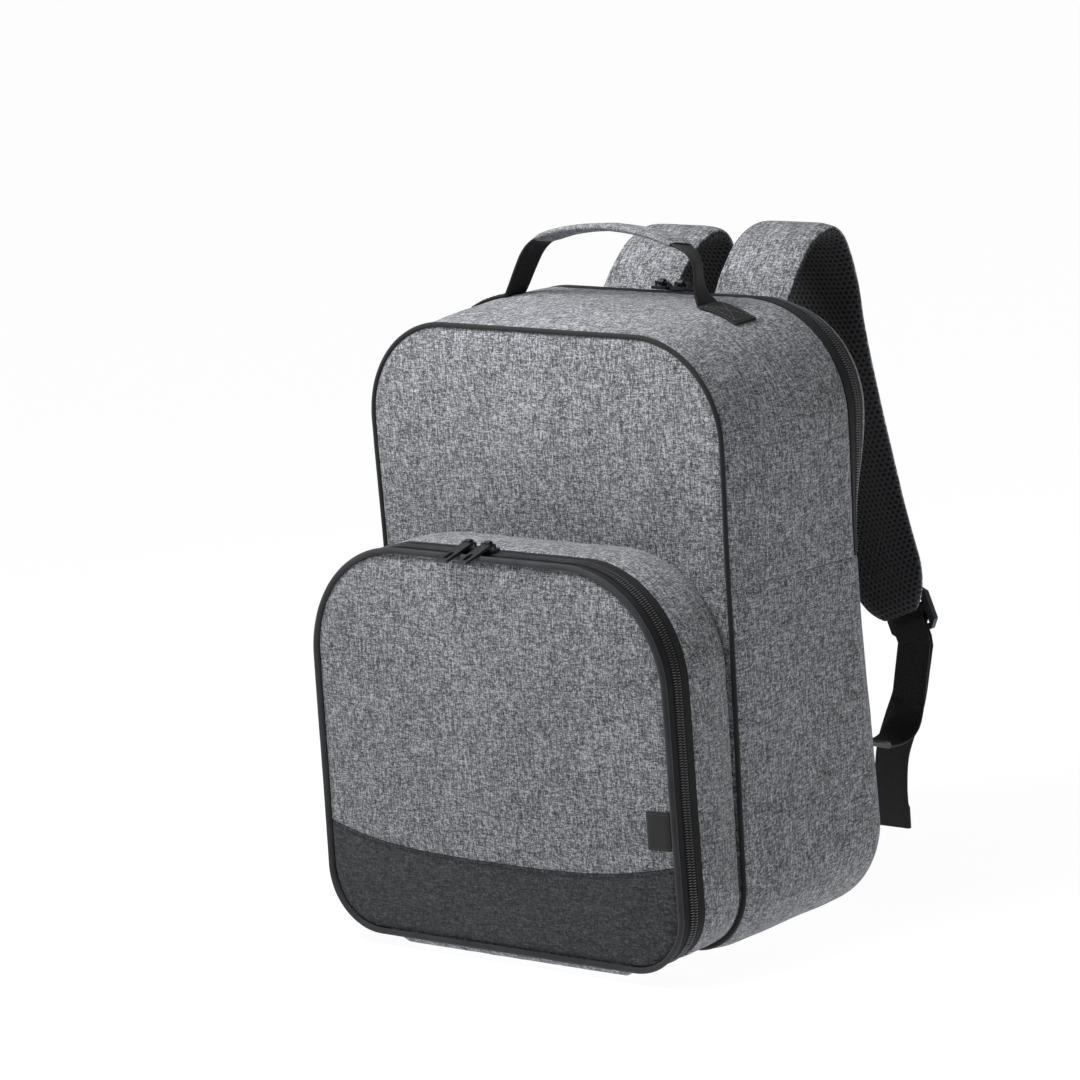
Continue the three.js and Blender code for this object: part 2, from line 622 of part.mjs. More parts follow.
// A flat shape extruded both ways from its plane.
function slab(shape, thickness) {
  const geometry = new THREE.ExtrudeGeometry(shape, { depth: thickness, bevelEnabled: false, steps: 1 });
  return geometry.translate(0, 0, -thickness / 2);
}

const eyeHole = BRIDGE_BAR * Math.SQRT1_2 + GAP;
const eyeOuter = eyeHole + EYE_RING;
const barHeight = SLIDER_PLATE + eyeOuter + GAP;

// Slider with its plate's underside at the origin and its bridge bar along X.
function sliderGeometry() {
  const top = barHeight + BRIDGE_BAR / 2;
  const bottom = SLIDER_PLATE / 2;
  const half = SLIDER_LENGTH / 2;
  const frame = rectangle(THREE.Shape, -half, bottom, half, top);
  frame.holes.push(rectangle(THREE.Path, -half + BRIDGE_POST, SLIDER_PLATE, half - BRIDGE_POST,
    top - BRIDGE_BAR));
  const bridge = slab(frame, BRIDGE_BAR).rotateX(Math.PI / 2);
  return join(box(SLIDER_LENGTH, SLIDER_WIDTH, SLIDER_PLATE, 0, 0, SLIDER_PLATE / 2), bridge);
}

// Pull with its eye's axis along X at the origin, lying along -Y.
function pullGeometry() {
  const half = PULL_WIDTH / 2;
  const tip = -PULL_LENGTH;
  const plate = rectangle(THREE.Shape, -half, tip, half, -eyeHole - EYE_RING / 2);
  const slotFoot = tip + PULL_SLOT_MARGIN;
  plate.holes.push(rectangle(THREE.Path, -PULL_SLOT_WIDTH / 2, slotFoot, PULL_SLOT_WIDTH / 2,
    slotFoot + PULL_SLOT_LENGTH));
  const ring = circle(THREE.Shape, eyeOuter, 10);
  ring.holes.push(circle(THREE.Path, eyeHole / Math.cos(Math.PI / 10), 10));
  const eye = slab(ring, EYE_WIDTH).rotateY(Math.PI / 2);
  return join(slab(plate, PULL_THICKNESS), eye);
}

// Angle below the level at which a pull rests on the first of its supports. The supports are circles
// in the slider's own frame, reach away and drop below the bridge bar.
function restAngle(supports) {
  return Math.min(...supports.map(({ reach, drop, radius }) =>
    Math.atan2(drop, reach) - Math.asin((radius + PULL_THICKNESS / 2) / Math.hypot(reach, drop))));
}

// A slider and its pull on the top of a skin's zip. lean is -1 where the pull lies to the front and 1
// where it lies to the back; supports are points that it may rest on, each with a radius.
function addSlider(prefix, side, surface, y, x, lean, supports) {
  const t = topStop(surface, y, x);
  const station = new THREE.Group();
  station.position.copy(surface.lifted(y, t, COIL_PROUD + GAP));
  station.quaternion.setFromUnitVectors(vec(0, 0, 1), surface.normal(y, t));
  station.updateMatrixWorld();
  pack.add(station);
  const angle = restAngle(supports.map(({ point, radius }) => {
    const local = station.worldToLocal(point.clone().setX(x));
    return { reach: lean * local.y, drop: barHeight - local.z, radius };
  }));
  const slider = new THREE.Mesh(sliderGeometry(), blackMetal());
  slider.name = `${prefix}_slider_${side}`;
  const pull = new THREE.Mesh(pullGeometry(), blackMetal());
  pull.name = `${prefix}_pull_${side}`;
  pull.position.set(0, 0, barHeight);
  pull.rotation.set(-lean * angle, 0, lean > 0 ? Math.PI : 0);
  station.add(slider, pull);
}

// Value of t on the top of a skin where its X is x.
function topStop(surface, y, x) {
  let [low, high] = [TOP_CORNER_LEG, 2 * LEGS - TOP_CORNER_LEG];
  for (let i = 0; i < 40; i += 1) {
    const middle = (low + high) / 2;
    if (surface.at(y, middle).x > x) low = middle;
    else high = middle;
  }
  return low;
}

const sides = [['left', -1], ['right', 1]];
const pocketZipMiddle = (pocketCoilFront + pocketCoilBack) / 2;
const pocketPipingTop = { point: pocketSkin.at(pocketFront, LEGS), radius: PIPING_RADIUS + GAP };
const rearStripTops = spread(tapeBack, gussetBack, 6).map((y) =>
  ({ point: body.at(y, LEGS), radius: SEAT_GAP }));
for (const [name, side] of sides) {
  const offset = side * SLIDER_SPACING / 2;
  addSlider('pocket', name, pocketSkin, pocketZipMiddle, POCKET_SLIDERS_X + offset, -1,
    [pocketPipingTop]);
  addSlider('main', name, body, zipMiddle, MAIN_SLIDERS_X + offset, 1, rearStripTops);
}

// Flat ribbons: webbing and straps. A route is a list of points, each with a direction across.

// Right-angled frames along a route: t along it, across it, and out of its face.
function frames(route) {
  return route.map(({ point, across }, i) => {
    const next = route[Math.min(i + 1, route.length - 1)].point;
    const previous = route[Math.max(i - 1, 0)].point;
    const along = next.clone().sub(previous).normalize();
    const side = across.clone().addScaledVector(along, -across.dot(along)).normalize();
    return { point, side, out: side.clone().cross(along) };
  });
}

// Rings of a ribbon whose section is a list of [across, out] offsets at each frame.
const ribbonRings = (list, sectionAt) => list.map((frame, i) => sectionAt(i).map(([u, v]) =>
  frame.point.clone().addScaledVector(frame.side, u).addScaledVector(frame.out, v)));

function addWebbing(name, route, { width = WEBBING_WIDTH, hemFrom = Infinity } = {}) {
  const half = WEBBING_THICKNESS / 2;
  const rings = ribbonRings(frames(route), (i) => {
    const face = i >= hemFrom ? half + WEBBING_THICKNESS : half;
    return [[-width / 2, -half], [width / 2, -half], [width / 2, face], [-width / 2, face]];
  });
  return addSweep(name, rings, webbing());
}

// Points on a smooth curve through a list of points, with steps between each two.
function smooth(points, steps = 2) {
  const curve = new THREE.CatmullRomCurve3(points, false, 'centripetal');
  return spread(0, 1, (points.length - 1) * steps).map((u) => curve.getPoint(u));
}

// Grab handle: one webbing from patch to patch, and a padded grip round its middle.

const handleY = Y_FRONT + HANDLE_SETBACK;
const footX = HANDLE_SPAN / 2;
const patchLift = SEAT_GAP + WEBBING_THICKNESS / 2;
const handleFoot = body.lifted(handleY, topStop(body, handleY, footX), patchLift);
const patchPoints = spread(footX + HANDLE_PATCH, footX, 3).map((x) =>
  body.lifted(handleY, topStop(body, handleY, x), patchLift));
const lean = THREE.MathUtils.degToRad(HANDLE_LEAN);
const handleArch = smooth([handleFoot, ...HANDLE_ROWS.map(({ out, rise }) => vec(out * footX,
  handleY + rise * HANDLE_RISE * Math.sin(lean), handleFoot.z + rise * HANDLE_RISE * Math.cos(lean)))]);
const mirrored = (p) => vec(-p.x, p.y, p.z);
const handleHalf = [...patchPoints.slice(0, -1), ...handleArch];
const handleRoute = [...handleHalf, ...handleHalf.slice(0, -1).reverse().map(mirrored)].map((point) => {
  const turned = lean * clamp(2 * (point.z - handleFoot.z) / HANDLE_RISE, 0, 1);
  return { point, across: vec(0, Math.cos(turned), -Math.sin(turned)) };
});
addWebbing('handle_webbing', handleRoute, { width: HANDLE_WEBBING_WIDTH });

const gripFrames = frames(handleRoute).filter(({ point }) =>
  Math.abs(point.x) <= GRIP_SHARE * footX + GAP && point.z > handleFoot.z + HANDLE_RISE / 2);
const chamfered = (width, thickness, cut) => {
  const [a, b] = [width / 2, thickness / 2];
  return [[-a, -b + cut], [-a + cut, -b], [a - cut, -b], [a, -b + cut],
    [a, b - cut], [a - cut, b], [-a + cut, b], [-a, b - cut]];
};
const gripSlot = chamfered(HANDLE_WEBBING_WIDTH + 2 * SEAT_GAP, WEBBING_THICKNESS + 2 * SEAT_GAP, GAP / 2);
const gripSkin = chamfered(GRIP_WIDTH, GRIP_THICKNESS, GRIP_THICKNESS / 3);
addWall('handle_grip', ribbonRings(gripFrames, () => gripSkin), ribbonRings(gripFrames, () => gripSlot),
  heather(), { loop: true });

// Shoulder straps with their ladder locks and webbing.

const backTop = body.outlineAt(Y_BACK).top;
const ridge = backTop + STRAP_RISE;

function strapCurve(side) {
  const x = (splay) => side * (STRAP_SPACING / 2 + splay * STRAP_SPLAY);
  const y = (back) => Y_BACK + back * STRAP_REACH;
  return smooth([
    ...STRAP_RISE_ROWS.map((row) => vec(x(row.splay), y(row.back), backTop + row.rise * STRAP_RISE)),
    ...STRAP_FALL_ROWS.map((row) => vec(x(row.splay), y(row.back), ridge - row.fall * STRAP_FALL)),
  ]);
}

function lengths(points) {
  const run = [0];
  for (let i = 1; i < points.length; i += 1) {
    run.push(run[i - 1] + points[i].distanceTo(points[i - 1]));
  }
  return run;
}

// Point at a distance along a polyline.
function pointAlong(points, run, distance) {
  const i = clamp(run.findIndex((d) => d >= distance), 1, points.length - 1);
  const f = (distance - run[i - 1]) / (run[i] - run[i - 1]);
  return points[i - 1].clone().lerp(points[i], f);
}

const TIP_STEPS = 4;
const SECTION_SHOULDER = 0.9;
const TIP_NARROWING = 0.9;

// One shoulder strap: a cover and an air mesh layer on either side of its line.
function addStrap(name, side) {
  const line = strapCurve(side);
  const run = lengths(line);
  const total = run[run.length - 1];
  const shaft = line.filter((_, i) => run[i] < total - STRAP_ROUND);
  const tip = spread(0, 1, TIP_STEPS).map((u) =>
    pointAlong(line, run, total - STRAP_ROUND * (1 - Math.sin(u * Math.PI / 2))));
  const points = [...shaft, ...tip];
  const route = frames(points.map((point) => ({ point, across: vec(1, 0, 0) })));
  const runs = lengths(points);
  const halfWidthAlong = (distance) => {
    const u = clamp((distance - (total - STRAP_ROUND)) / STRAP_ROUND, 0, 1);
    return STRAP_WIDTH / 2 * Math.sqrt(1 - (TIP_NARROWING * u) ** 2);
  };
  const layer = (from, thickness) => (i) => {
    const half = halfWidthAlong(runs[i]);
    const full = clamp(runs[i] / STRAP_SEAM_TAPER, 0, 1);
    const depth = lerp(STRAP_SEAM_THICKNESS, Math.abs(thickness), full) * Math.sign(thickness);
    const shoulder = half * SECTION_SHOULDER;
    return [[-half, from], [half, from], [half, from + depth / 2],
      [shoulder, from + depth], [-shoulder, from + depth], [-half, from + depth / 2]];
  };
  addSweep(`strap_cover_${name}`, ribbonRings(route, layer(GAP / 2, COVER_THICKNESS)), heather());
  addSweep(`strap_mesh_${name}`, ribbonRings(route, layer(-GAP / 2, -MESH_THICKNESS)), airMesh());
  return { route, runs, total };
}

// A ladder lock lies behind a strap's tip. Its places are [across, out, up] from its middle.
const ribbonSeat = GAP + WEBBING_THICKNESS / 2;
const ribbonPitch = GAP + WEBBING_THICKNESS;
const barFace = LOCK_THICKNESS / 2 + ribbonSeat;
const lockSlot = (LOCK_HEIGHT - 3 * LOCK_BAR) / 2;
const topBarFoot = LOCK_BAR / 2 + lockSlot;
const lockTop = LOCK_HEIGHT / 2;
const lockSetback = GAP / 2 + COVER_THICKNESS + SEAT_GAP + 3 * ribbonPitch;

// The lock's frame continues the line of the strap's end.
function lockFrame(strap) {
  const above = strap.route[strap.runs.findIndex((d) => d >= strap.total - STRAP_END_START)].point;
  const tip = strap.route[strap.route.length - 1].point;
  const group = new THREE.Group();
  group.position.set(tip.x, tip.y + lockSetback, tip.z);
  group.rotation.set(0, -Math.atan2(tip.x - above.x, above.z - tip.z), 0);
  group.updateMatrixWorld();
  const at = (out, up) => ({
    point: group.localToWorld(vec(0, out, up)),
    across: vec(1, 0, 0).applyQuaternion(group.quaternion),
  });
  return { group, at };
}

function addLock(name, frame) {
  const half = LOCK_WIDTH / 2;
  const cut = LOCK_CORNER;
  const outline = new THREE.Shape([
    [-half + cut, -lockTop], [half - cut, -lockTop], [half, -lockTop + cut], [half, lockTop - cut],
    [half - cut, lockTop], [-half + cut, lockTop], [-half, lockTop - cut], [-half, -lockTop + cut],
  ].map(([x, y]) => new THREE.Vector2(x, y)));
  const upperHalf = WEBBING_WIDTH / 2 + SEAT_GAP;
  const lowerHalf = upperHalf + GAP;
  outline.holes.push(rectangle(THREE.Path, -upperHalf, LOCK_BAR / 2, upperHalf, topBarFoot));
  outline.holes.push(rectangle(THREE.Path, -lowerHalf, -topBarFoot, lowerHalf, -LOCK_BAR / 2));
  const mesh = new THREE.Mesh(slab(outline, LOCK_THICKNESS).rotateX(Math.PI / 2), darkPlastic());
  mesh.name = `ladder_lock_${name}`;
  frame.group.add(mesh);
  pack.add(frame.group);
}

// Half turn of a ribbon round a bar of the lock, from its face at out > 0 to the other. The list holds
// [out, up] places; sense is 1 over the bar and -1 under it.
const cornerSeat = ribbonSeat * Math.SQRT1_2 + GAP / 10;
function roundBar(middle, sense) {
  const quarter = [
    [barFace, 0],
    [barFace, LOCK_BAR / 2 - GAP],
    [LOCK_THICKNESS / 2 + cornerSeat, LOCK_BAR / 2 + cornerSeat],
    [LOCK_THICKNESS / 2 - GAP, LOCK_BAR / 2 + ribbonSeat],
    [0, LOCK_BAR / 2 + ribbonSeat],
  ];
  const half = [...quarter, ...quarter.slice(0, -1).reverse().map(([out, up]) => [-out, up])];
  return half.map(([out, up]) => [out, middle + sense * up]);
}

// Webbing folded round the lock's top bar, with both ends sewn on the strap's cover.
function addStrapEnd(name, strap, frame) {
  const onCover = (distance, layers) => {
    const i = strap.runs.findIndex((d) => d >= strap.total - distance);
    const [a, b] = [strap.route[i - 1], strap.route[i]];
    const f = (strap.total - distance - strap.runs[i - 1]) / (strap.runs[i] - strap.runs[i - 1]);
    const lift = GAP / 2 + COVER_THICKNESS + SEAT_GAP + WEBBING_THICKNESS / 2 + layers * ribbonPitch;
    const out = a.out.clone().lerp(b.out, f).normalize();
    return {
      point: a.point.clone().lerp(b.point, f).addScaledVector(out, lift),
      across: a.side.clone().lerp(b.side, f).normalize(),
    };
  };
  const lap = spread(STRAP_END_START + STRAP_END_LAP, STRAP_END_START, 3);
  const fold = roundBar(topBarFoot + LOCK_BAR / 2, -1);
  addWebbing(`strap_end_webbing_${name}`, [
    ...lap.map((distance) => onCover(distance, 1)),
    frame.at(barFace, lockTop + GAP),
    ...fold.map(([out, up]) => frame.at(out, up)),
    frame.at(-barFace, lockTop + GAP),
    ...lap.slice(1).reverse().map((distance) => onCover(distance, 0)),
  ]);
}

// The lower webbing: a patch on the back panel, the load strap, the turn round the lock's middle
// bar, and the free tail with its folded hem.
function addLowerWebbing(name, side, frame) {
  const half = WEBBING_WIDTH / 2;
  const outTo = (share) => side * share * BODY_WIDTH / 2;
  const level = (point) => ({ point, across: vec(1, 0, 0) });
  const patchX = outTo(LOAD_ROWS[0].out);
  const onPanel = (up, extra) => {
    const z = ANCHOR_HEIGHT + up;
    const slope = (backFace(patchX + half, z) - backFace(patchX - half, z)) / WEBBING_WIDTH;
    const lift = SEAT_GAP + WEBBING_THICKNESS / 2 + extra;
    return { point: vec(patchX, backFace(patchX, z) + lift, z), across: vec(1, slope, 0) };
  };
  const bend = 2 * WEBBING_THICKNESS;
  const patch = [...spread(ANCHOR_PATCH, bend, 2).map((up) => onPanel(up, 0)),
    onPanel(bend / 2, WEBBING_THICKNESS / 2)];
  const load = smooth(LOAD_ROWS.map((row) =>
    vec(outTo(row.out), Y_BACK + row.back * STRAP_REACH, row.height * ANCHOR_HEIGHT)), 1);
  const under = -barFace - ribbonPitch - GAP;
  const rise = [[under, -lockTop - LOCK_BAR], [under, -topBarFoot - GAP],
    [under + GAP, lockSlot / 2 - topBarFoot + GAP], [-barFace - GAP, -LOCK_BAR / 2]];
  const over = roundBar(0, 1).map(([out, up]) => [-out, up]);
  const corner = LOCK_THICKNESS / 2 + cornerSeat;
  const back = [[barFace, -LOCK_BAR / 2 + 2 * GAP], [corner, -LOCK_BAR / 2 - ribbonSeat],
    [corner / 4, -(LOCK_BAR + lockSlot) / 2 + GAP / 2], [-corner, -topBarFoot + ribbonSeat],
    [-barFace, -topBarFoot - 2 * GAP], [-barFace, -lockTop]];
  const turn = [...rise, ...over, ...back].map(([out, up]) => frame.at(out, up));
  const exit = frame.at(-barFace, -lockTop - LOCK_BAR).point;
  const fall = exit.z - TAIL_FOOT;
  const tail = TAIL_ROWS.map(({ drop, out }) => vec(outTo(out), exit.y, exit.z - drop * fall));
  const last = outTo(TAIL_ROWS[TAIL_ROWS.length - 1].out);
  const hem = [TAIL_HEM, TAIL_HEM - GAP, 0].map((up) => vec(last, exit.y, TAIL_FOOT + up));
  const route = [...patch, ...load.map(level), ...turn, ...[exit, ...tail, ...hem].map(level)];
  addWebbing(`lower_webbing_${name}`, route, { hemFrom: route.length - 2 });
}

for (const [name, side] of sides) {
  const strap = addStrap(name, side);
  const frame = lockFrame(strap);
  addLock(name, frame);
  addStrapEnd(name, strap, frame);
  addLowerWebbing(name, side, frame);
}

export default pack;
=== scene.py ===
# Cooler backpack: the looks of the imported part, in the part's own frame.
# Lengths in this script are millimetres, and turn into metres where a mesh is made.

import math

import bmesh
import bpy
import numpy as np
from mathutils import Matrix, Vector, noise
from mathutils.bvhtree import BVHTree


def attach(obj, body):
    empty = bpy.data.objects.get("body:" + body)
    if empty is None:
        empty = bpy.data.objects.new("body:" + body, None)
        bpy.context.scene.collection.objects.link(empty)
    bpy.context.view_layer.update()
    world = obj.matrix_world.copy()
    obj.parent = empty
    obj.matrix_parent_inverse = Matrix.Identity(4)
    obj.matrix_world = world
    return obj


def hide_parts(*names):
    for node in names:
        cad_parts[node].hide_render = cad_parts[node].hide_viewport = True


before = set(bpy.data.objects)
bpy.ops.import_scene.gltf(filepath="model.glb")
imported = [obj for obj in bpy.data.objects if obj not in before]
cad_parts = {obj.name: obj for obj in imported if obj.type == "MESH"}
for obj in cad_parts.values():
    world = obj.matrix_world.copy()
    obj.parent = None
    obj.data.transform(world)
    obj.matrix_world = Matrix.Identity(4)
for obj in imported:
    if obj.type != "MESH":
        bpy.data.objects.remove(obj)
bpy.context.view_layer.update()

MM = 0.001

# Main body
BODY_WIDTH = 268
BODY_HEIGHT = 369.5
BODY_DEPTH = 146
BODY_TOP_RADIUS = 60
BODY_FOOT_RADIUS = 45
BODY_WALL = 3
SIDE_SEAM_HEIGHT = 222
SHOULDER_HEIGHT = 310
BASE_EDGE_LIFT = 4
BASE_EDGE_LENGTH = 20
FRONT_PANEL_BULGE = 3
PANEL_PROUD = 1
BACK_PAD = 6
BACK_PAD_BULGE = 5

# Front pocket
POCKET_WIDTH = 270.5
POCKET_TOP = 245.5
POCKET_FOOT = 8.5
POCKET_DEPTH = 67
POCKET_TOP_RADIUS = 69
POCKET_FOOT_RADIUS = 37
POCKET_WALL = 2.2
POCKET_BULGE = 5
BAND_SEAM_HEIGHT = 62.5
BAND_SEAM_BOW = 11
HINGE_WIDTH = 184
HINGE_SAG = 7.2
HINGE_SAG_TAPER = 9
LABEL_WIDTH = 16
LABEL_HEIGHT = 23
LABEL_FOOT = 83.5

# Trim
PIPING_DIAMETER = 3.8
TAPE_THICKNESS = 1.2
COIL_WIDTH = 8
POCKET_TAPE_WIDTH = 6
MAIN_TAPE_WIDTH = 6.5
MAIN_ZIP_FROM_BACK = 22
WEBBING_WIDTH = 25
HANDLE_WEBBING_WIDTH = 20
WEBBING_THICKNESS = 1.8

# Grab handle
HANDLE_SPAN = 149
HANDLE_RISE = 43
HANDLE_LEAN = 9
HANDLE_SETBACK = 70
HANDLE_PATCH = 27
GRIP_SHARE = 0.7
GRIP_WIDTH = 24
GRIP_THICKNESS = 5
HANDLE_TWIST = -26
HANDLE_SWAY = 1.8

# Shoulder straps
STRAP_SPACING = 88
STRAP_WIDTH = 56
STRAP_RISE = 37.5
STRAP_FALL = 244
STRAP_REACH = 87
STRAP_SPLAY = 36
STRAP_ROUND = 34
COVER_THICKNESS = 3
MESH_THICKNESS = 5
STRAP_SEAM_THICKNESS = 1.4
STRAP_SEAM_TAPER = 14
TIP_NARROWING = 0.9

# Ladder locks and the webbing below the straps
LOCK_HEIGHT = 28
LOCK_THICKNESS = 4
LOCK_BAR = 4
STRAP_END_LAP = 34
STRAP_END_START = 22
ANCHOR_HEIGHT = 98.5
ANCHOR_PATCH = 22
TAIL_FOOT = 17.5
TAIL_HEM = 14

GAP = 0.3
SEAT_GAP = 0.4
Y_FRONT = -BODY_DEPTH / 2
Y_BACK = BODY_DEPTH / 2
PIPING_RADIUS = PIPING_DIAMETER / 2
PIPING_CLEAR = PIPING_RADIUS + GAP
PANEL_FACE = Y_FRONT - PANEL_PROUD

# Cloth detail
CLOTH_STEP = 3.0
PANEL_STEP = 3.2
SEAM_DIP = 1.0
SEAM_ROLL = 2.4
PUCKER = 0.32
PUCKER_REACH = 11
SAG = 0.9
STITCH_LENGTH = 2.1
STITCH_PITCH = 3.0
TOPSTITCH_DROP = 2.2
STRAP_STITCH_INSET = 4.5
LABEL_STITCH_INSET = 1.2
TOOTH_PITCH = 1.62
# How much lower and fuller the hinge strip hangs than its plain shape.
HINGE_SLACK = 0.9
HINGE_FULLNESS = 0.5
# How much closer cloth closes on a piping, and how thin the main one is drawn between its seams.
CLOTH_REACH = 0.9
MAIN_PIPING_SHARE = 0.84
# How each strap ridge sits off the even place: to the right, and up.
STRAP_SET = {"left": (0, -2.5), "right": (-1.7, 2.7)}


class Table:
    """Rows of named columns, read on a smooth curve through them by their first column."""

    def __init__(self, columns, rows):
        self.columns = columns.split()
        self.rows = np.array(rows, float)

    def at(self, share):
        key = self.rows[:, 0]
        last = len(key) - 1
        share = np.asarray(share, float)
        i = np.clip(np.searchsorted(key, share) - 1, 0, last - 1)
        span = (key[i + 1] - key[i])[..., None]
        f = np.clip((share[..., None] - key[i][..., None]) / span, 0, 1)

        def slope(k):
            after, before = np.minimum(k + 1, last), np.maximum(k - 1, 0)
            return (self.rows[after] - self.rows[before]) / (key[after] - key[before])[..., None]

        m, n = slope(i) * span, slope(i + 1) * span
        value = ((2 * f**3 - 3 * f**2 + 1) * self.rows[i] + (f**3 - 2 * f**2 + f) * m
                 + (3 * f**2 - 2 * f**3) * self.rows[i + 1] + (f**3 - f**2) * n)
        return dict(zip(self.columns, np.moveaxis(value, -1, 0)))


# The part's own tables. depth is a share of BODY_DEPTH or POCKET_DEPTH; top, middle and foot are
# shares of half the width; height is a share of BODY_HEIGHT and rise of POCKET_TOP.
BODY_SECTIONS = Table("depth top middle foot height top_radius foot_radius", [
    (0.000, 1.000, 0.988, 0.963, 1.000, 1.00, 0.92),
    (0.205, 1.028, 1.008, 0.981, 1.011, 1.15, 1.05),
    (0.438, 1.052, 1.026, 1.004, 1.018, 1.26, 1.18),
    (0.664, 1.060, 1.040, 1.025, 1.016, 1.22, 1.30),
    (0.774, 1.054, 1.042, 1.037, 1.013, 1.14, 1.36),
    (0.836, 1.042, 0.998, 1.037, 1.010, 1.08, 1.36),
    (0.890, 1.022, 0.951, 1.000, 1.004, 1.03, 1.32),
    (0.945, 0.996, 0.903, 0.951, 0.995, 0.98, 1.25),
    (1.000, 0.955, 0.851, 0.892, 0.980, 0.92, 1.18),
])
POCKET_SECTIONS = Table("depth top middle foot rise top_radius foot_radius", [
    (0.00, 0.944, 0.940, 0.930, 0.990, 0.94, 0.92),
    (0.12, 0.972, 0.972, 0.968, 1.000, 1.00, 0.96),
    (0.40, 0.992, 0.998, 1.000, 1.006, 1.02, 1.00),
    (0.75, 0.992, 0.998, 1.005, 1.004, 1.00, 1.00),
    (1.00, 0.989, 0.997, 1.005, 1.000, 1.00, 1.00),
])

# The grab handle from a foot to its middle: out is a share of half of HANDLE_SPAN, rise a share of
# HANDLE_RISE.
HANDLE_ROWS = [(0.96, 0.15), (0.90, 0.38), (0.84, 0.58), (0.78, 0.70), (GRIP_SHARE, 0.79),
               (0.50, 0.90), (0.25, 0.97), (0.00, 1.00)]

# A shoulder strap up to its ridge and down to its tip: back is a share of STRAP_REACH, rise of
# STRAP_RISE, fall of STRAP_FALL and splay of STRAP_SPLAY.
STRAP_RISE_ROWS = [
    (0.003, 0.010, 0), (0.040, 0.110, 0), (0.082, 0.207, 0), (0.126, 0.345, 0),
    (0.242, 0.620, 0), (0.346, 0.816, 0), (0.484, 0.954, 0), (0.615, 1.000, 0.01),
]
STRAP_FALL_ROWS = [
    (0.714, 0.024, 0.02), (0.780, 0.075, 0.03), (0.830, 0.151, 0.05), (0.852, 0.254, 0.08),
    (0.912, 0.421, 0.16), (0.967, 0.591, 0.29), (1.000, 0.774, 0.50), (0.995, 0.893, 0.73),
    (0.989, 1.000, 1.00),
]

# The load strap: out is a share of half of BODY_WIDTH, back of STRAP_REACH, height of ANCHOR_HEIGHT.
LOAD_ROWS = [
    (0.763, 0.085, 0.985), (0.755, 0.20, 0.955), (0.690, 0.37, 0.905), (0.595, 0.56, 0.835),
    (0.565, 0.79, 0.800), (0.565, 0.91, 0.815), (0.580, 0.98, 0.880), (0.605, 1.01, 1.040),
]
# The free tail: drop is a share of the way down to TAIL_FOOT, out a share of half of BODY_WIDTH.
TAIL_ROWS = [(0.12, 0.620), (0.30, 0.580), (0.45, 0.520), (0.60, 0.468), (0.78, 0.447)]

# Folds of the cloth: middle, direction, length, width and depth. A depth below 0 is a ridge.
FOLDS = [
    ((138, -10, 236), (0.10, 0.10, 1.0), 34, 6, 0.9),
    ((140, 12, 262), (0.05, -0.10, 1.0), 40, 7, 0.9),
    ((141, 2, 250), (0.05, 0.05, 1.0), 34, 5, -0.7),
    ((136, -30, 40), (0.10, 0.25, 1.0), 30, 6, 0.9),
    ((138, -8, 52), (0.05, -0.12, 1.0), 34, 6, 0.9),
    ((138, 14, 40), (0.05, 0.15, 1.0), 30, 6, 0.8),
    ((102, 2, 374), (1.0, 0.35, -0.2), 13, 3.0, 2.0),
    ((105, -9, 373), (1.0, -0.25, -0.2), 13, 3.0, 1.7),
    ((112, -20, 368), (0.8, -0.6, -0.2), 20, 4, 1.3),
    ((112, 12, 368), (0.9, 0.5, -0.3), 20, 4, 1.3),
    ((-60, -142, 150), (0.15, 0, 1.0), 60, 12, 0.8),
    ((30, -143, 120), (-0.2, 0, 1.0), 55, 14, 0.8),
    ((-100, -142, 110), (0.35, 0, 1.0), 45, 10, 0.9),
    ((70, -75, 300), (0.8, 0, 0.5), 60, 14, 0.7),
    ((-60, -76, 320), (0.6, 0, -0.8), 60, 16, 0.7),
]


def smoothstep(x, low, high):
    t = np.clip((x - low) / (high - low), 0, 1)
    return t * t * (3 - 2 * t)


def lerp(a, b, f):
    return a + (b - a) * f


def unit(v):
    return v / np.maximum(np.linalg.norm(v, axis=-1, keepdims=True), 1e-9)


# Outlines and skins, as in the part

LEGS = 7
CORNER_LEG = 2
SIDE_LEG = 4
TOP_CORNER_LEG = 5


def half_width(o, z):
    lower = lerp(o["foot_half"], o["middle_half"], smoothstep(z, o["foot"], o["waist"]))
    upper = lerp(o["middle_half"], o["top_half"], smoothstep(z, o["waist"], o["shoulder"]))
    return np.where(z < o["waist"], lower, upper)


def outline(o, t):
    """X and Z at t, from 0 in the middle of the foot up the right side to LEGS at the top."""
    turn = 2 * LEGS
    u = np.mod(t, turn)
    side = np.where(u > LEGS, -1.0, 1.0)
    h = np.where(side < 0, turn - u, u)
    leg = np.minimum(np.floor(h), LEGS - 1).astype(int)
    f = h - leg
    angle = f * np.pi / 2
    w, r, top_r = o["top_half"], o["foot_radius"], o["top_radius"]
    foot, top = o["foot"] + 0 * f, o["top"] + 0 * f
    wide = w + 0 * f
    x = np.choose(leg, [
        o["foot_split"] * f, lerp(o["foot_split"], w - r, f), w - r + r * np.sin(angle), wide, wide,
        w - top_r * (1 - np.cos(angle)), lerp(w - top_r, 0, f)])
    z = np.choose(leg, [
        foot, foot, foot + r * (1 - np.cos(angle)), lerp(foot + r, o["side_split"], f),
        lerp(o["side_split"], top - top_r, f), top - top_r * (1 - np.sin(angle)), top])
    return side * x * half_width(o, z) / w, z


def inset(o, by):
    changed = {"top_half": -by, "middle_half": -by, "foot_half": -by, "top": -by, "foot": by,
               "top_radius": -by, "foot_radius": -by}
    return {k: v + changed.get(k, 0) for k, v in o.items()}


